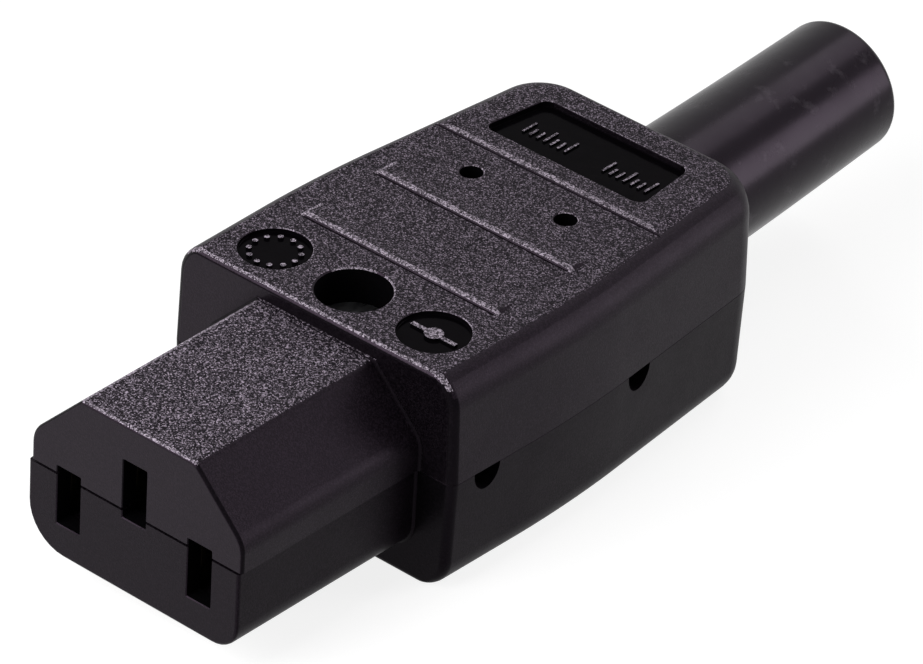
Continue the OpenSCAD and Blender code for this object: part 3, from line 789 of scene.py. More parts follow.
@dataclass
class Housing:
    """The two moulded half shells: keyed nose, bowed body, top details and insides.

    Attributes are sizes in millimetres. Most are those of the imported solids. The body's
    width, the nose's chamfer, collar, corners and shifts, the drafts, the edges and the
    ridges' fronts are closer to a real shell, whose halves don't meet exactly.
    """

    bench: Bench
    nose_w: float = 22.5
    nose_top: float = 8.0
    nose_drop: tuple[float, float] = (7.7, 7.8)
    nose_chamfer: float = 5.2
    nose_key_r: float = 0.9
    nose_blend_r: float = 2.5
    nose_corner_r: tuple[float, float] = (3.9, 2.6)
    nose_draft: float = 0.1
    nose_collar: float = 0.22
    face_edge: float = 0.3
    upper_shift: float = 0.2
    lower_shift: float = -0.1
    nose_wall: float = 2.1
    slot_w: float = 2.5
    slot_h: float = 5.45
    slot_r: float = 0.1
    slot_lip: float = 0.08
    slots: tuple[tuple[float, float], ...] = ((-7.0, -2.0), (7.0, -2.0), (0.0, 2.0))
    seam: float = 0.12
    seam_depth: float = 0.9
    body_y: float = 20.5
    rear_y: float = 61.3
    body_half: float = 15.2
    rear_half: float = 13.0
    front_relief: float = 0.15
    bow_y: float = 15.5
    bow_r: float = 120.0
    bow_rise: float = 0.2
    body_top: float = 9.75
    body_drop: float = 10.65
    draft: float = 0.35
    edge_r: float = 3.0
    front_edge_r: float = 0.55
    rear_edge_r: float = 1.2
    front_corner_r: float = 0.8
    rear_corner_r: float = 3.4
    parting_bevel: float = 0.035
    nose_bevel: float = 0.09
    deck_z: float = 9.55
    step_y: float = 48.6
    ridge_y: tuple[float, ...] = (30.3, 39.3)
    ridge_half: float = 10.5
    ridge_h: float = 0.28
    ridge_run: float = 2.6
    screw_y: float = 25.1
    disc_x: float = 8.48
    disc_r: float = 3.05
    disc_depth: float = 0.4
    pip_ring_r: float = 2.15
    pip_r: float = 0.24
    bar_half: float = 2.3
    boss_r: float = 0.8
    mark_w: float = 0.22
    post_r: float = 4.5
    post_root: float = 0.5
    seat_z: float = 3.95
    counterbore_r: float = 3.2
    counterbore_lip: float = 0.12
    shank_hole_r: float = 1.7
    nut_pocket_r: float = 3.23
    nut_top_z: float = -7.95
    pilot_x: float = 5.05
    pilot_y: float = 45.1
    pilot_r: float = 1.0
    pilot_lip: float = 0.08
    thread_hole_r: float = 1.36
    label_y: tuple[float, float] = (50.9, 57.9)
    label_left: tuple[float, float] = (8.85, 7.9)
    label_right: tuple[float, float] = (8.1, 7.4)
    label_depth: float = 0.6
    label_r: float = 0.9
    tick_x: tuple[float, ...] = (-6.6, 2.0)
    tick_y: float = 53.2
    tick_pitch: float = 0.75
    tick_count: int = 7
    long_tick: float = 1.8
    short_tick: float = 1.1
    notch_y: tuple[float, ...] = (24.6, 43.9)
    notch_r: float = 1.5
    notch_drop: float = 1.9
    side_wall: float = 2.0
    roof_z: float = 7.75
    floor_z: float = -8.85
    front_wall: float = 1.7
    rear_wall: float = 1.9
    face_wall: float = 1.6
    throat_y: float = 17.5
    chamber_w: float = 4.7
    chamber_h: float = 6.2
    throat_corner: float = 1.7
    boot_hole_r: float = 6.6
    finishes: dict[Finish, bpy.types.Material] = field(default_factory=dict)

    def half_at(self, y: float) -> float:
        """Works out the body's half width at the parting plane.

        Args:
            y: distance from the mating face.

        Returns:
            The half width.
        """
        widest = self.body_y + self.bow_y
        bend = self.rear_y - self.rear_corner_r
        if y < widest:
            return self.body_half - self.front_relief * (widest - y) / self.bow_y
        share = min(1.0, (y - widest) / (bend - widest))
        return self.body_half - (self.body_half - self.rear_half) * share

    def plan(self, side_in: float, front_in: float, rear_in: float) -> list[Vector]:
        """Works out the body's outline seen from above.

        Args:
            side_in: how far the sides stand in.
            front_in: how far the front stands in.
            rear_in: how far the rear stands in.

        Returns:
            The outline's points.
        """
        front = self.body_half - self.front_relief - side_in
        right = [
            (front, self.body_y + front_in, self.front_corner_r),
            (self.body_half + self.bow_rise - side_in, self.body_y + self.bow_y, self.bow_r),
            (self.rear_half - side_in, self.rear_y - rear_in, self.rear_corner_r),
        ]
        left = [(-x, y, r) for x, y, r in reversed(right)]
        return rounded(right + left, 10)

    def half_body(self, top: float, up: int) -> bmesh.types.BMesh:
        """Lofts one half of the body from the parting plane to its roof or floor.

        Args:
            top: distance from the parting plane to the roof or floor.
            up: 1 for the upper half and -1 for the lower one.

        Returns:
            The closed half, before it is hollowed.
        """
        def curve_in(z: float, radius: float, end: float = top) -> float:
            """Works out how far a rounded edge has curved in at a height.

            Args:
                z: the height.
                radius: the edge's radius.
                end: the height at which the edge ends.

            Returns:
                The distance from the wall.
            """
            rise = min(radius, z - end + radius)
            return 0.0 if rise <= 0 else radius - math.sqrt(radius ** 2 - rise ** 2)

        bevel = self.parting_bevel
        front_end = self.deck_z if up > 0 else top
        rings = [level(self.plan(bevel, bevel, bevel), 0),
                 level(self.plan(0, 0, 0), up * bevel)]
        heights = {round(end - r + r * math.sin(math.radians(a)), 4)
                   for end, r in ((top, self.edge_r), (front_end, self.front_edge_r))
                   for a in (0, 12, 24, 36, 48, 58, 66, 72, 78, 82, 86, 90)}
        for z in sorted(heights):
            outline = self.plan(self.draft * z / top + curve_in(z, self.edge_r),
                                curve_in(z, self.front_edge_r, front_end),
                                curve_in(z, self.rear_edge_r))
            rings.append(level(outline, up * z))
        return loft(rings)

    def upper_section(self, inset: float) -> list[Vector]:
        """Works out the section of the nose's upper half.

        Args:
            inset: how far the outline is moved in.

        Returns:
            The outline's points.
        """
        half = self.nose_w / 2 - inset
        top = self.nose_top - inset
        key = self.nose_w / 2 + self.nose_top - self.nose_chamfer - inset * math.sqrt(2)
        bevel = self.nose_bevel
        right = [(half - bevel, 0, 0), (half, bevel, 0),
                 (half, key - half, self.nose_blend_r), (key - top, top, self.nose_key_r)]
        outline = rounded(right + [(-x, z, r) for x, z, r in reversed(right)])
        return [p + Vector((self.upper_shift, 0)) for p in outline]

    def lower_section(self, inset: float) -> list[Vector]:
        """Works out the section of the nose's lower half.

        Args:
            inset: how far the outline is moved in.

        Returns:
            The outline's points.
        """
        half = self.nose_w / 2 - inset
        bevel = self.nose_bevel
        sides = [[(side.value * (half - bevel), 0, 0), (side.value * half, -bevel, 0),
                  (side.value * half, inset - drop, radius - inset)]
                 for side, drop, radius in zip(Side, self.nose_drop, self.nose_corner_r)]
        outline = rounded(sides[1] + sides[0][::-1])
        return [p + Vector((self.lower_shift, 0)) for p in outline]

    def nose(self, section: Callable[[float], list[Vector]]) -> list[bmesh.types.BMesh]:
        """Lofts half of the nose and its sloped collar at the body.

        Args:
            section: gives the section moved in by the amount it is called with.

        Returns:
            The nose and the collar, as two closed meshes.
        """
        rings = []
        for angle in (0, 20, 40, 60, 90):
            turn = math.radians(angle)
            rings.append(station(section(self.face_edge * (1 - math.sin(turn))),
                                 self.face_edge * (1 - math.cos(turn))))
        grown = -self.nose_draft
        inner_y = self.body_y + self.front_wall
        rings.append(station(section(grown), inner_y))
        # the collar's arc leaves the nose and turns out towards the front of the body
        collar = []
        full, end_y = math.radians(70), self.body_y - 0.06
        reach = 1.1 * self.nose_collar
        for angle in range(0, 71, 10):
            turn = math.radians(angle)
            out = (1 - math.cos(turn)) / (1 - math.cos(full))
            back = math.sin(turn) / math.sin(full)
            collar.append(station(section(grown - 0.01 - out * self.nose_collar),
                                  end_y - reach * (1 - back)))
        collar.append(station(section(grown - self.nose_collar), inner_y))
        # on top it is cut off a little above the nose
        ceiling = self.nose_top + self.nose_draft + 0.03
        for ring in collar:
            for point in ring:
                point.z = min(point.z, ceiling)
        return [loft(rings), loft(collar)]

    def seam_cut(self, up: int) -> bmesh.types.BMesh:
        """Makes the cutter of the fine seam that the half's nose shows at its face.

        Args:
            up: 1 for the upper half and -1 for the lower one.

        Returns:
            The cutter.
        """
        low, high = sorted((-OVER * up, self.seam * up))
        return slab(-self.nose_w, self.nose_w, -OVER, self.seam_depth, low, high)

    def slot(self, x: float, z: float, inset: float) -> list[Vector]:
        """Works out the outline of a contact slot.

        Args:
            x: middle of the slot across the nose.
            z: middle of the slot above the parting plane.
            inset: how far the outline is moved in.

        Returns:
            The outline's points.
        """
        w, h = self.slot_w / 2 - inset, self.slot_h / 2 - inset
        return rounded([(x - w, z - h, self.slot_r), (x + w, z - h, self.slot_r),
                        (x + w, z + h, self.slot_r), (x - w, z + h, self.slot_r)], 2)

    def throat(self) -> bmesh.types.BMesh:
        """Makes the cutter of the passage from the chambers into the body.

        Returns:
            The cutter.
        """
        half = self.slots[1][0] + self.chamber_w / 2
        high = self.slots[2][1] + self.chamber_h / 2
        low = self.slots[0][1] - self.chamber_h / 2
        key = (self.nose_w / 2 + self.nose_top - self.nose_chamfer
               - self.nose_wall * math.sqrt(2))
        corner = self.throat_corner
        outline = [Vector(p) for p in (
            (-half, low + corner), (-half + corner, low), (half - corner, low),
            (half, low + corner), (half, key - half), (key - high, high),
            (high - key, high), (-half, key - half))]
        return loft([station(outline, self.throat_y),
                     station(outline, self.body_y + self.front_wall + OVER)])

    def hollows(self) -> list[bmesh.types.BMesh]:
        """Makes the cutters of the slots, chambers, passage, inside and boot hole.

        Returns:
            The cutters.
        """
        tools = []
        lip, half_w, half_h = self.slot_lip, self.chamber_w / 2, self.chamber_h / 2
        for x, z in self.slots:
            wide, narrow = self.slot(x, z, -lip), self.slot(x, z, 0)
            tools.append(loft([station(wide, -OVER), station(wide, 0), station(narrow, lip),
                               station(narrow, self.face_wall + OVER)]))
            tools.append(slab(x - half_w, x + half_w, self.face_wall, self.throat_y + OVER,
                              z - half_h, z + half_h))
        tools.append(self.throat())
        plan = self.plan(self.draft + self.side_wall, self.front_wall, self.rear_wall)
        tools.append(loft([level(plan, self.floor_z), level(plan, self.roof_z)]))
        tools.append(rod(0, 0, self.boot_hole_r, self.rear_y - self.rear_wall - OVER,
                         self.rear_y + OVER))
        return tools

    def disc(self, x: float) -> Callable[[float], list[Vector]]:
        """Gives the outline function of a round recess at x."""
        return lambda inset: circle(x, self.screw_y, self.disc_r - inset)

    def label(self, inset: float) -> list[Vector]:
        """Works out the outline of the label recess.

        Args:
            inset: how far the outline is moved in.

        Returns:
            The outline's points.
        """
        (y0, y1), left, right = self.label_y, self.label_left, self.label_right
        radius = max(0.05, self.label_r - inset)
        return rounded([(inset - left[0], y0 + inset, radius),
                        (right[0] - inset, y0 + inset, radius),
                        (right[1] - inset, y1 - inset, radius),
                        (inset - left[1], y1 - inset, radius)])

    def marks(self) -> list[bmesh.types.BMesh]:
        """Makes the plain raised pips, bar and ticks on the floors of the recesses.

        Returns:
            The marks, each a closed mesh that runs a little into its floor.
        """
        disc = self.deck_z - self.disc_depth
        label = self.body_top - self.label_depth
        sunk, x, y, w = 0.1, self.disc_x, self.screw_y, self.mark_w
        ring = self.pip_ring_r
        pips = [post(ring * math.cos(a) - x, ring * math.sin(a) + y, self.pip_r,
                     disc - sunk, disc + 0.2)
                for a in (math.pi * k / 6 for k in range(12))]
        bar = slab(x - self.bar_half, x + self.bar_half, y - w, y + w, disc - sunk, disc + 0.2)
        boss = post(x, y, self.boss_r, disc - sunk, disc + 0.24)
        ticks = []
        for start in self.tick_x:
            for k in range(self.tick_count):
                left = start + self.tick_pitch * k
                length = self.short_tick if k % 3 else self.long_tick
                ticks.append(slab(left, left + w, self.tick_y, self.tick_y + length,
                                  label - sunk, label + 0.16))
        return pips + [bar, boss] + ticks

    def ridge(self, y: float) -> bmesh.types.BMesh:
        """Makes a grip ridge: a rounded front and a back that runs out to the deck.

        Args:
            y: place of its front.

        Returns:
            The ridge, which runs a little into the deck.
        """
        sink, high, half = 0.3, self.ridge_h, self.ridge_half
        section = [(0, -sink), (0, 0.02), (0.1, 0.45 * high), (0.25, 0.8 * high), (0.5, high),
                   (self.ridge_run, -0.01), (self.ridge_run, -sink)]
        rings = []
        for x, share in ((-1.0, 0.05), (-1 + 0.4 / half, 1.0), (1 - 0.25 / half, 1.0),
                         (1.0, 0.05)):
            rings.append([Vector((x * half, y + a, self.deck_z + (b * share if b > 0 else b)))
                          for a, b in section])
        return loft(rings)

    def crease(self, y: float, half: float) -> bmesh.types.BMesh:
        """Makes the cutter of the fine crease at the foot of a step or ridge.

        Args:
            y: place of the step or ridge.
            half: half the length of the crease.

        Returns:
            The cutter.
        """
        section = [(y - 0.14, self.deck_z + 0.05), (y - 0.14, self.deck_z),
                   (y - 0.05, self.deck_z - 0.1), (y + 0.01, self.deck_z - 0.1),
                   (y + 0.01, self.deck_z + 0.05)]
        return loft([[Vector((x, a, b)) for a, b in section] for x in (-half, half)])

    def deck_cut(self) -> bmesh.types.BMesh:
        """Makes the cutter that sinks the deck and leaves the platform's soft step.

        Returns:
            The cutter.
        """
        y, low, high = self.step_y, self.deck_z, self.body_top
        section = [(self.body_y - OVER, low), (y, low), (y + 0.1, low + 0.1),
                   (y + 0.3, low + 0.17), (y + 0.6, high), (y + 0.8, high + OVER),
                   (self.body_y - OVER, high + OVER)]
        return loft([[Vector((x, a, b)) for a, b in section]
                     for x in (-self.nose_w, self.nose_w)])

    def stepped_hole(self, place: tuple[float, float], radius: float, lip: float, seat_z: float,
                     inner_r: float, end_z: float, steps: int = 96) -> bmesh.types.BMesh:
        """Makes the cutter of a screw's stepped hole, from above the deck downwards.

        Args:
            place: x and y of its middle.
            radius: radius at the deck.
            lip: size of the softened edge at the deck.
            seat_z: height at which it narrows.
            inner_r: radius below that height.
            end_z: height at which it ends.
            steps: number of stretches round it.

        Returns:
            The cutter.
        """
        above = self.body_top + OVER
        bm = lathe([(0, above), (radius + lip, above), (radius + lip, self.deck_z),
                    (radius, self.deck_z - lip), (radius, seat_z), (inner_r, seat_z),
                    (inner_r, end_z), (0, end_z)], steps)
        bmesh.ops.translate(bm, vec=(*place, 0), verts=bm.verts)
        return bm

    def top_cutters(self) -> list[bmesh.types.BMesh]:
        """Makes the cutters of the counterbore, the pilot holes and the recesses.

        Returns:
            The cutters.
        """
        tools = [self.stepped_hole((0, self.screw_y), self.counterbore_r, self.counterbore_lip,
                                   self.seat_z, self.shank_hole_r, -OVER),
                 pit(self.label, self.body_top, self.label_depth)]
        tools += [self.stepped_hole((side.value * self.pilot_x, self.pilot_y), self.pilot_r,
                                    self.pilot_lip, self.roof_z, self.thread_hole_r, 0, 48)
                  for side in Side]
        tools += [pit(self.disc(side.value * self.disc_x), self.deck_z, self.disc_depth)
                  for side in Side]
        return tools

    def upper(self) -> bpy.types.Object:
        """Builds the upper shell.

        Returns:
            The finished piece.
        """
        solid = Moulding("upper_housing", self.half_body(self.body_top, 1))
        solid.join(*self.nose(self.upper_section))
        solid.cut(*self.hollows(), self.seam_cut(1))
        solid.join(post(0, self.screw_y, self.post_r, 0, self.roof_z + self.post_root))
        solid.cut(self.deck_cut())
        solid.join(*[self.ridge(y) for y in self.ridge_y])
        solid.cut(self.crease(self.step_y, self.nose_w),
                  *[self.crease(y, self.ridge_half - 0.3) for y in self.ridge_y])
        solid.cut(*self.top_cutters())
        solid.join(*self.marks())
        solid.tidy()
        return self.dress(solid, "upper_shell", self.upper_finish,
                          (Finish.SMOOTH, Finish.GRAINED, Finish.POLISHED, Finish.PAINTED_HIGHLIGHT,
                           Finish.SHADED_HOLLOW, Finish.EDGE, Finish.FRONT, Finish.NOSE))

    def dress(self, solid: Moulding, node: str, pick: Callable[[Vector, Vector], Finish],
              used: Sequence[Finish]) -> bpy.types.Object:
        """Places a shell and gives each of its faces a finish.

        Args:
            solid: the shell, in millimetres.
            node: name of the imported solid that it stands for.
            pick: picks a finish by a face's middle and normal.
            used: the finishes that pick chooses from.

        Returns:
            The finished piece.
        """
        return self.bench.place(solid, Slot.HOUSING, [node],
                                [self.finishes[finish] for finish in used],
                                lambda middle, normal: used.index(pick(middle, normal)))

    def recess_finish(self, middle: Vector, normal: Vector) -> Finish | None:
        """Picks the finish of a face in a round recess or in the label recess.

        Args:
            middle: the face's middle.
            normal: the face's normal.

        Returns:
            The finish, or None where the face lies in no recess.
        """
        on_disc = min(math.hypot(middle.x - side.value * self.disc_x, middle.y - self.screw_y)
                      for side in Side) < self.disc_r + 0.05
        y0, y1 = self.label_y
        on_label = y0 < middle.y < y1 and -self.label_left[0] < middle.x < self.label_right[0]
        for inside, floor in ((on_disc, self.deck_z - self.disc_depth),
                              (on_label, self.body_top - self.label_depth)):
            if inside and self.roof_z < middle.z < floor + 0.3:
                # the tops of the raised marks get the painted highlight
                on_mark = normal.z > UPWARD and middle.z > floor + 0.1
                return Finish.PAINTED_HIGHLIGHT if on_mark else Finish.POLISHED
        return None

    def upper_finish(self, middle: Vector, normal: Vector) -> Finish:
        """Picks the finish of a face of the upper shell.

        Args:
            middle: the face's middle.
            normal: the face's normal.

        Returns:
            The finish.
        """
        recess = self.recess_finish(middle, normal)
        if recess is not None:
            return recess
        # slots, chambers and screw holes get painted shade
        if self.in_hollow(middle) or self.in_screw_hole(middle):
            return Finish.SHADED_HOLLOW
        # the mating face's rounded side edges get painted shade
        on_rim = middle.y < self.face_edge and -0.97 < normal.y < -0.15
        if on_rim and normal.z < 0.8 and abs(normal.x) > 0.25:
            return Finish.EDGE
        # the nose's root and the body's upright front edges get painted shade
        if self.on_front_edge(middle, normal):
            return Finish.EDGE
        # other front faces get painted shade
        if normal.y < FORWARD:
            return Finish.FRONT
        slopes = normal.z > SLOPED
        # the rounded fronts of the step and the ridges get the painted highlight
        if slopes and self.on_lip(middle):
            return Finish.PAINTED_HIGHLIGHT
        on_root = self.body_y - 1.2 < middle.y < self.body_y and abs(normal.z) < 0.995
        if on_root or middle.z < self.nose_top - 0.6:
            return Finish.SMOOTH
        on_nose = middle.y < self.body_y
        on_deck = middle.y < self.step_y and abs(middle.x) < self.ridge_half
        front_edge = normal.y < -0.2
        left_edge = normal.x < -0.2 and (on_nose or on_deck)
        # sloped front and left edges of the nose and deck get the painted highlight
        if slopes and (front_edge or left_edge) and abs(normal.x) < 0.75:
            return Finish.PAINTED_HIGHLIGHT
        # tops of the nose get the painted sheen, other tops the grained plastic
        if normal.z > UPWARD:
            return Finish.NOSE if on_nose else Finish.GRAINED
        return Finish.SMOOTH

    def on_front_edge(self, middle: Vector, normal: Vector) -> bool:
        """Tells whether a face lies in the nose's root or on an upright front edge.

        Args:
            middle: the face's middle.
            normal: the face's normal.

        Returns:
            True if it does.
        """
        if not -0.98 < normal.y < -0.12:
            return False
        in_root = self.body_y - 0.35 < middle.y < self.body_y and abs(normal.z) < 0.8
        return in_root or (self.body_y <= middle.y < self.body_y + 0.8
                           and abs(normal.z) < SLOPED)

    def in_screw_hole(self, middle: Vector) -> bool:
        """Tells whether a place lies on the wall of a screw's hole, under its lip.

        Args:
            middle: the place.

        Returns:
            True if it does.
        """
        return middle.z < self.deck_z - 0.1 and any(
            math.hypot(middle.x - x, middle.y - y) < radius + 0.02
            for x, y, radius in ((0, self.screw_y, self.counterbore_r),
                                 (-self.pilot_x, self.pilot_y, self.pilot_r),
                                 (self.pilot_x, self.pilot_y, self.pilot_r)))

    def on_lip(self, middle: Vector) -> bool:
        """Tells whether a place lies on the rounded front of the step or of a ridge.

        Args:
            middle: the place.

        Returns:
            True if it does.
        """
        if not self.deck_z + 0.01 < middle.z < self.body_top + 0.2:
            return False
        on_step = 0 < middle.y - self.step_y < 0.62 and middle.z < self.body_top - 0.01
        return on_step or any(0 < middle.y - y < 0.5 and abs(middle.x) < self.ridge_half
                              for y in self.ridge_y)

    def in_hollow(self, middle: Vector) -> bool:
        """Tells whether a place lies in a slot or a chamber of the nose.

        Args:
            middle: the place.

        Returns:
            True if it does.
        """
        half_w, half_h = self.chamber_w / 2 + 0.02, self.chamber_h / 2 + 0.02
        return 0.05 < middle.y < self.throat_y + OVER and any(
            abs(middle.x - x) < half_w and abs(middle.z - z) < half_h for x, z in self.slots)

    def notch(self, y: float, side: Side) -> bmesh.types.BMesh:
        """Makes the cutter of a half-round notch under the parting line.

        Args:
            y: its middle.
            side: the wall that it cuts through.

        Returns:
            The cutter.
        """
        depth = self.side_wall + self.draft + OVER
        edge = self.half_at(y)
        ends = (edge - depth, edge + OVER) if side is Side.RIGHT else (-edge - OVER, depth - edge)
        arc = [Vector((y + self.notch_r * math.cos(a), self.notch_drop * math.sin(a)))
               for a in (math.pi + math.pi * k / 24 for k in range(25))]
        outline = [Vector((y - self.notch_r, OVER))] + arc + [Vector((y + self.notch_r, OVER))]
        return loft([[Vector((x, p.x, p.y)) for p in outline] for x in ends])

    def lower(self) -> bpy.types.Object:
        """Builds the lower shell.

        Returns:
            The finished piece.
        """
        solid = Moulding("lower_housing", self.half_body(self.body_drop, -1))
        solid.join(*self.nose(self.lower_section))
        solid.cut(*self.hollows(), self.seam_cut(-1))
        solid.join(post(0, self.screw_y, self.post_r, self.floor_z - self.post_root, 0))
        pocket = circle(0, self.screw_y, self.nut_pocket_r, 6)
        below = -self.body_drop - OVER
        tools = [self.notch(y, side) for y in self.notch_y for side in Side]
        tools.append(post(0, self.screw_y, self.shank_hole_r, below, OVER))
        tools.append(loft([level(pocket, below), level(pocket, self.nut_top_z)]))
        solid.cut(*tools)
        solid.tidy()
        return self.dress(solid, "lower_shell", self.lower_finish,
                          (Finish.LOWER, Finish.SHADED_HOLLOW, Finish.SHADED_LOWER_FRONT, Finish.EDGE))

    def lower_finish(self, middle: Vector, normal: Vector) -> Finish:
        """Picks the finish of a face of the lower shell.

        Args:
            middle: the face's middle.
            normal: the face's normal.

        Returns:
            The finish.
        """
        # slots and chambers get painted shade
        if self.in_hollow(middle):
            return Finish.SHADED_HOLLOW
        faces_front = normal.y < FORWARD
        on_body = middle.y > self.body_y - 0.01
        # the body's front faces and the front edges of the lower shell get painted shade
        if (faces_front and on_body) or self.on_front_edge(middle, normal):
            return Finish.EDGE
        # the rest of the lower shell gets painted shade, darker still on its mating face
        return Finish.SHADED_LOWER_FRONT if faces_front else Finish.LOWER


# ---------------------------------------------------------------- boot


@dataclass
class Boot:
    """The rubber boot: a flange inside the shells and a sleeve that leans a little.

    Attributes are sizes in millimetres. Lean is how far the free end stands to the right
    and up, curl how much more the boot bends towards its free end, and sag how far it
    lies low where it leaves the shells.
    """

    bench: Bench
    rubber: bpy.types.Material
    flange_y: tuple[float, float] = (56.65, 59.25)
    flange_r: float = 7.3
    flange_edge: float = 0.3
    rear_y: float = 61.3
    end_y: float = 88.95
    root_r: float = 6.4
    end_r: float = 6.0
    edge_r: float = 0.7
    bore_r: float = 3.6
    bore_edge: float = 0.4
    lean: tuple[float, float] = (-0.5, 1.55)
    curl: float = 0.3
    sag: float = 0.15
    stretches: int = 12

    def build(self) -> bpy.types.Object:
        """Spins the boot, divides it along its length and leans it.

        Returns:
            The finished piece.
        """
        (y0, y1), soft = self.flange_y, self.flange_edge
        corners = [(self.bore_r, y0, soft), (self.flange_r, y0, soft), (self.flange_r, y1, soft),
                   (self.root_r, y1, 0.05), (self.root_r, self.rear_y, 0),
                   (self.end_r, self.end_y, self.edge_r), (self.bore_r, self.end_y, self.bore_edge)]
        bm = lathe(fillet_profile(corners), 96)
        bmesh.ops.rotate(bm, cent=(0, 0, 0), matrix=Matrix.Rotation(-math.pi / 2, 3, "X"),
                         verts=bm.verts)
        length = self.end_y - self.rear_y
        for k in range(1, self.stretches):
            bmesh.ops.bisect_plane(bm, geom=bm.verts[:] + bm.edges[:] + bm.faces[:],
                                   plane_co=(0, self.rear_y + length * k / self.stretches, 0),
                                   plane_no=(0, 1, 0))
        for vert in bm.verts:
            share = max(0.0, (vert.co.y - self.rear_y) / length)
            bend = share * (1 + self.curl * share) / (1 + self.curl)
            vert.co.y -= (vert.co.x * self.lean[0] + vert.co.z * self.lean[1]) / length
            vert.co.x += self.lean[0] * bend
            vert.co.z += self.lean[1] * bend - self.sag * min(1.0, 4 * share + 0.5)
        solid = Moulding("leaning_boot", bm)
        return self.bench.place(solid, Slot.BOOT, ["cable_boot"], [self.rubber], crease=40)


# ---------------------------------------------------------------- inner pieces


def soften(bm: bmesh.types.BMesh, size: float) -> None:
    """Rounds every sharp edge of a mesh.

    Args:
        bm: the mesh.
        size: how far the rounding reaches from the edge, in the mesh's own units.
    """
    sharp = [e for e in bm.edges if e.is_manifold and e.calc_face_angle(0) > math.radians(40)]
    bmesh.ops.bevel(bm, geom=sharp, offset=size, offset_type="OFFSET", segments=2, profile=0.5,
                    affect="EDGES", clamp_overlap=True, material=-1)


@dataclass
class CaseScrew:
    """The slotted cheese-head screw that holds the two shells together.

    Attributes are sizes in millimetres, and the slot's turn is in degrees.
    """

    bench: Bench
    steel: bpy.types.Material
    screw_y: float = 25.1
    seat_z: float = 3.95
    tip_z: float = -10.15
    shank_r: float = 1.5
    head_r: float = 3.05
    head_h: float = 2.45
    slot_w: float = 0.9
    slot_depth: float = 1.1
    slot_turn: float = 39.0
    tip_bevel: float = 0.3
    edge: float = 0.08

    def build(self) -> bpy.types.Object:
        """Spins the screw and mills its slot.

        Returns:
            The finished piece.
        """
        top = self.seat_z + self.head_h
        solid = Moulding("case_screw_part", lathe([
            (0, self.tip_z), (self.shank_r - self.tip_bevel, self.tip_z),
            (self.shank_r, self.tip_z + self.tip_bevel), (self.shank_r, self.seat_z),
            (self.head_r, self.seat_z), (self.head_r, top), (0, top)]))
        slot = slab(-self.head_r - OVER, self.head_r + OVER, -self.slot_w / 2, self.slot_w / 2,
                    top - self.slot_depth, top + OVER)
        turn = Matrix.Rotation(math.radians(self.slot_turn), 3, "Z")
        bmesh.ops.rotate(slot, cent=(0, 0, 0), matrix=turn, verts=slot.verts)
        solid.cut(slot).tidy()
        bm = bmesh.new()
        bm.from_mesh(solid.piece.data)
        soften(bm, self.edge)
        bmesh.ops.translate(bm, vec=(0, self.screw_y, 0), verts=bm.verts)
        bm.to_mesh(solid.piece.data)
        bm.free()
        return self.bench.place(solid, Slot.STEEL, ["case_screw"], [self.steel], crease=50)


@dataclass
class InnerPieces:
    """Contacts, terminals, clamp and screws, with their edges softened.

    Attributes:
        finishes: the material of each slot.
        edge: size of the softened edges, in metres.
        weld: distance within which corners are joined, in metres.
    """

    finishes: dict[Slot, bpy.types.Material]
    edge: float = 0.05 * MM
    weld: float = 1e-7

    def dress(self, node: str, slot: Slot) -> bpy.types.Object:
        """Makes a soft-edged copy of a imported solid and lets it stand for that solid.

        Args:
            node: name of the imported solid.
            slot: the record's material slot.

        Returns:
            The finished piece.
        """
        source = bpy.data.objects[node]
        bm = bmesh.new()
        bm.from_mesh(source.data)
        bmesh.ops.remove_doubles(bm, verts=bm.verts, dist=self.weld)
        bmesh.ops.dissolve_limit(bm, angle_limit=math.radians(1), verts=bm.verts, edges=bm.edges)
        soften(bm, self.edge)
        mesh = bpy.data.meshes.new(node + "_part")
        bm.to_mesh(mesh)
        bm.free()
        piece = bpy.data.objects.new(node + "_part", mesh)
        bpy.context.scene.collection.objects.link(piece)
        mesh.materials.append(self.finishes[slot])
        mesh.shade_smooth()
        mesh.set_sharp_from_angle(angle=math.radians(50))
        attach(piece, BODY)
        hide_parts(node)
        LOG.info("%s: %d faces", piece.name, len(mesh.polygons))
        return piece


# ---------------------------------------------------------------- stage


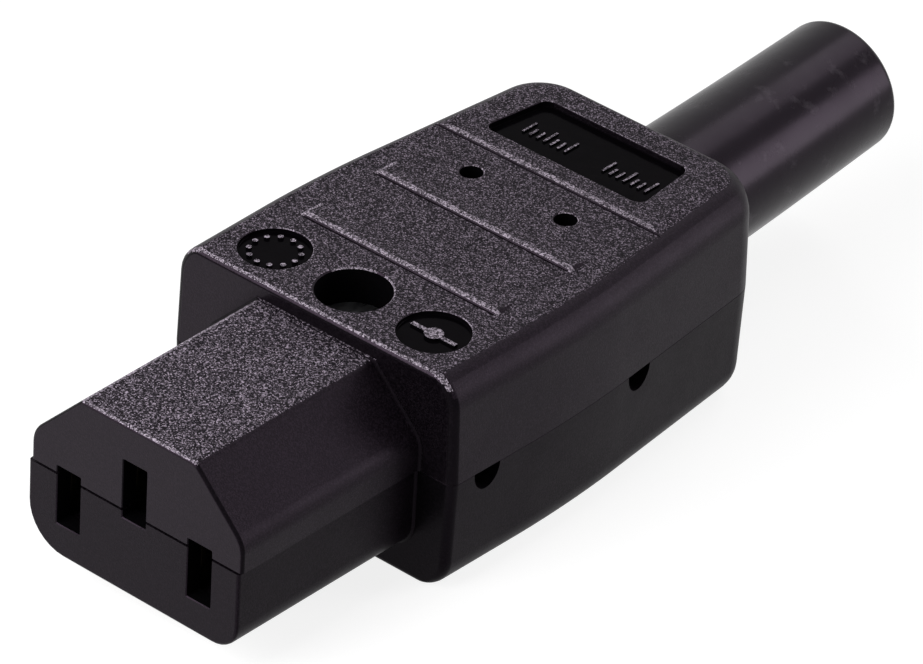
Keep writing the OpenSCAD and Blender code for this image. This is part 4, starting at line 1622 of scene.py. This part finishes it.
@dataclass(frozen=True)
class Studio:
    """Floor, surround, lamps and camera.

    Attributes:
        bench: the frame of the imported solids.
        azimuth: the camera's direction round the part, in degrees.
        elevation: its height, in degrees.
        roll: its roll, in degrees.
        distance: its distance to its target, in millimetres.
        aim: its target, in millimetres from the mating face's middle.
        lens: its focal length, in millimetres.
        floor_size: half the floor's side, in metres.
        floor_shade: how much of the lamps' light the floor throws back.
        floor_glow: share of the floor's white that doesn't depend on the lamps.
        sky_light: strength of the surround as a light.
    """

    bench: Bench
    azimuth: float = 39.34
    elevation: float = 33.3
    roll: float = 3.35
    distance: float = 550.0
    aim: tuple[float, float, float] = (11.35, 25.0, 10.9)
    lens: float = 273.7
    floor_size: float = 4.0
    floor_shade: float = 0.35
    floor_glow: float = 0.84
    sky_light: float = 0.12

    @property
    def target(self) -> Vector:
        """Gives the point that the camera and the lamps face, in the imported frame."""
        return self.bench.matrix() @ Vector(self.aim)

    def camera(self) -> None:
        """Sets the camera up from its direction, roll and distance to its target."""
        az, el = math.radians(self.azimuth), math.radians(self.elevation)
        back = Vector((math.sin(az) * math.cos(el), -math.cos(az) * math.cos(el), math.sin(el)))
        right = Vector((math.cos(az), math.sin(az), 0))
        up = back.cross(right)
        turned = Matrix.Rotation(math.radians(self.roll), 3, back)
        axes = Matrix((turned @ right, turned @ up, back)).transposed()
        data = bpy.data.cameras.new("camera")
        data.sensor_width = 36.0
        data.lens = self.lens
        data.clip_end = 10.0
        camera = bpy.data.objects.new("camera", data)
        camera.matrix_world = (Matrix.Translation(self.target + back * self.distance * MM)
                               @ axes.to_4x4())
        bpy.context.scene.collection.objects.link(camera)
        bpy.context.scene.camera = camera

    @staticmethod
    def show(tree: bpy.types.NodeTree, strength: bpy.types.NodeSocket, light: float,
             seen: float) -> None:
        """Gives a strength one value as a light and another where it is seen.

        Args:
            tree: the nodes that the strength belongs to.
            strength: the socket to drive.
            light: its value as a light on other surfaces.
            seen: its value to the camera, in a mirror and through glass.
        """
        path = tree.nodes.new("ShaderNodeLightPath")
        ramp = tree.nodes.new("ShaderNodeMapRange")
        ramp.inputs["To Min"].default_value = light
        ramp.inputs["To Max"].default_value = seen
        value = path.outputs["Is Camera Ray"]
        for name in ("Is Glossy Ray", "Is Transmission Ray"):
            most = tree.nodes.new("ShaderNodeMath")
            most.operation = "MAXIMUM"
            tree.links.new(value, most.inputs[0])
            tree.links.new(path.outputs[name], most.inputs[1])
            value = most.outputs["Value"]
        tree.links.new(value, ramp.inputs["Value"])
        tree.links.new(ramp.outputs["Result"], strength)

    def pale(self) -> bpy.types.Material:
        """Builds the floor's material, which looks white to the camera and keeps shadows.

        Returns:
            The material.
        """
        board = Board("pale_floor")
        board.tree.nodes.remove(board.shader)
        diffuse = board.add("ShaderNodeBsdfDiffuse")
        diffuse.inputs["Color"].default_value = (*[self.floor_shade] * 3, 1)
        white = board.add("ShaderNodeEmission")
        self.show(board.tree, white.inputs["Strength"], 0.0, self.floor_glow)
        both = board.add("ShaderNodeAddShader")
        board.link(diffuse.outputs["BSDF"], both.inputs[0])
        board.link(white.outputs["Emission"], both.inputs[1])
        board.link(both.outputs["Shader"], board.tree.nodes["Material Output"].inputs["Surface"])
        return board.material

    def floor(self) -> None:
        """Lays the floor."""
        bm = bmesh.new()
        bmesh.ops.create_grid(bm, x_segments=1, y_segments=1, size=self.floor_size)
        mesh = bpy.data.meshes.new("floor")
        bm.to_mesh(mesh)
        bm.free()
        floor = bpy.data.objects.new("floor", mesh)
        mesh.materials.append(self.pale())
        bpy.context.scene.collection.objects.link(floor)

    def world(self) -> None:
        """Sets a plain white surround: bright to the camera, soft as a light."""
        world = bpy.data.worlds.new("surround")
        world.use_nodes = True
        tree = world.node_tree
        background = tree.nodes["Background"]
        background.inputs["Color"].default_value = (1, 1, 1, 1)
        self.show(tree, background.inputs["Strength"], self.sky_light, 1.0)
        bpy.context.scene.world = world

    def lamp(self, name: str, place: tuple[float, float, float], size: tuple[float, float],
             power: float) -> None:
        """Hangs a soft rectangular lamp that faces the target.

        Args:
            name: name of the lamp.
            place: its middle, in metres.
            size: its width and height, in metres.
            power: its power, in watts.
        """
        data = bpy.data.lights.new(name, "AREA")
        data.shape = "RECTANGLE"
        data.size, data.size_y = size
        data.energy = power
        lamp = bpy.data.objects.new(name, data)
        aim = (self.target - Vector(place)).to_track_quat("-Z", "Y")
        lamp.matrix_world = Matrix.Translation(place) @ aim.to_matrix().to_4x4()
        bpy.context.scene.collection.objects.link(lamp)

    def lights(self) -> None:
        """Hangs the lamps: one overhead, a weak strip behind and a panel at the side."""
        self.lamp("overhead", (-0.045, -0.15, 0.115), (0.15, 0.15), 0.37)
        self.lamp("strip", (-0.033, 0.432, 0.484), (0.3, 0.2), 0.5)
        self.lamp("panel", (0.28, 0.28, 0.12), (0.16, 0.2), 0.55)


# ---------------------------------------------------------------- assembly


def main() -> None:
    """Builds every piece in order."""
    logging.basicConfig(level=logging.INFO, format="%(message)s")
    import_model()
    bench = Bench.from_frame()
    studio = Studio(bench)
    studio.camera()
    housing = Housing(bench, finishes={
        Finish.SMOOTH: SmoothPlastic().material(),
        Finish.GRAINED: GrainedPlastic().material(),
        # painted sheen: a lighter copy of the grain for the nose's top
        Finish.NOSE: GrainedPlastic("painted_sheen_grain", light=(0.45, 0.38, 0.47)).material(),
        Finish.POLISHED: GlossPlastic().material(),
        # painted highlight: lighter grain where edges and marks catch the light
        Finish.PAINTED_HIGHLIGHT: GrainedPlastic("painted_highlight_grain", (0.02, 0.017, 0.021), (0.60, 0.52, 0.62),
                                    sharpness=2.0).material(),
        # painted shade on the upper shell's front faces
        Finish.FRONT: SmoothPlastic("painted_shade_front_plastic", light=(0.007, 0.0053, 0.0073),
                                    rough=(0.3, 0.36), shine=0.165).material(),
        # painted shade on the lower shell's sides and, below, on its mating face
        Finish.LOWER: SmoothPlastic("painted_shade_lower_plastic", light=(0.011, 0.008, 0.0114),
                                    shine=0.06).material(),
        Finish.SHADED_LOWER_FRONT: SmoothPlastic("painted_shade_lower_front_plastic", light=(0.006, 0.0045, 0.0062),
                                          rough=(0.3, 0.36), shine=0.11).material(),
        # painted shade inside slots and holes
        Finish.SHADED_HOLLOW: SmoothPlastic("painted_shade_hollow_plastic", (0.001, 0.001, 0.0012),
                                     (0.002, 0.0018, 0.0022), (0.6, 0.7), 0.01).material(),
        # painted shade on edges, the nose's root and the body front
        Finish.EDGE: SmoothPlastic("painted_shade_edge_plastic", (0.002, 0.0018, 0.0022),
                                   (0.006, 0.0048, 0.0063), (0.3, 0.4), 0.045).material(),
    })
    housing.upper()
    housing.lower()
    Boot(bench, BootRubber().material()).build()
    inner = InnerPieces({
        # the brass gets painted shade near the mating face, fading out from 6 mm to 11 mm in
        Slot.BRASS: BareMetal("brass", (0.42, 0.30, 0.12), (0.66, 0.49, 0.22), (0.3, 0.5),
                              bench.face_y + 6 * MM).material(),
        Slot.STEEL: BareMetal("steel", (0.42, 0.42, 0.44), (0.58, 0.58, 0.60)).material(),
        Slot.CLAMP: SmoothPlastic("clamp_plastic").material(),
    })
    for name in ("line", "neutral", "earth"):
        inner.dress(name + "_contact", Slot.BRASS)
        inner.dress(name + "_terminal", Slot.BRASS)
        inner.dress(name + "_terminal_screw", Slot.STEEL)
    CaseScrew(bench, BareMetal("dark_steel", (0.16, 0.16, 0.17),
                               (0.24, 0.24, 0.25)).material()).build()
    for name in ("case_nut", "left_clamp_screw", "right_clamp_screw"):
        inner.dress(name, Slot.STEEL)
    inner.dress("clamp_bar", Slot.CLAMP)
    studio.floor()
    studio.world()
    studio.lights()


if __name__ == "__main__":
    bpy.context.scene.view_settings.view_transform = "Standard"
    main()
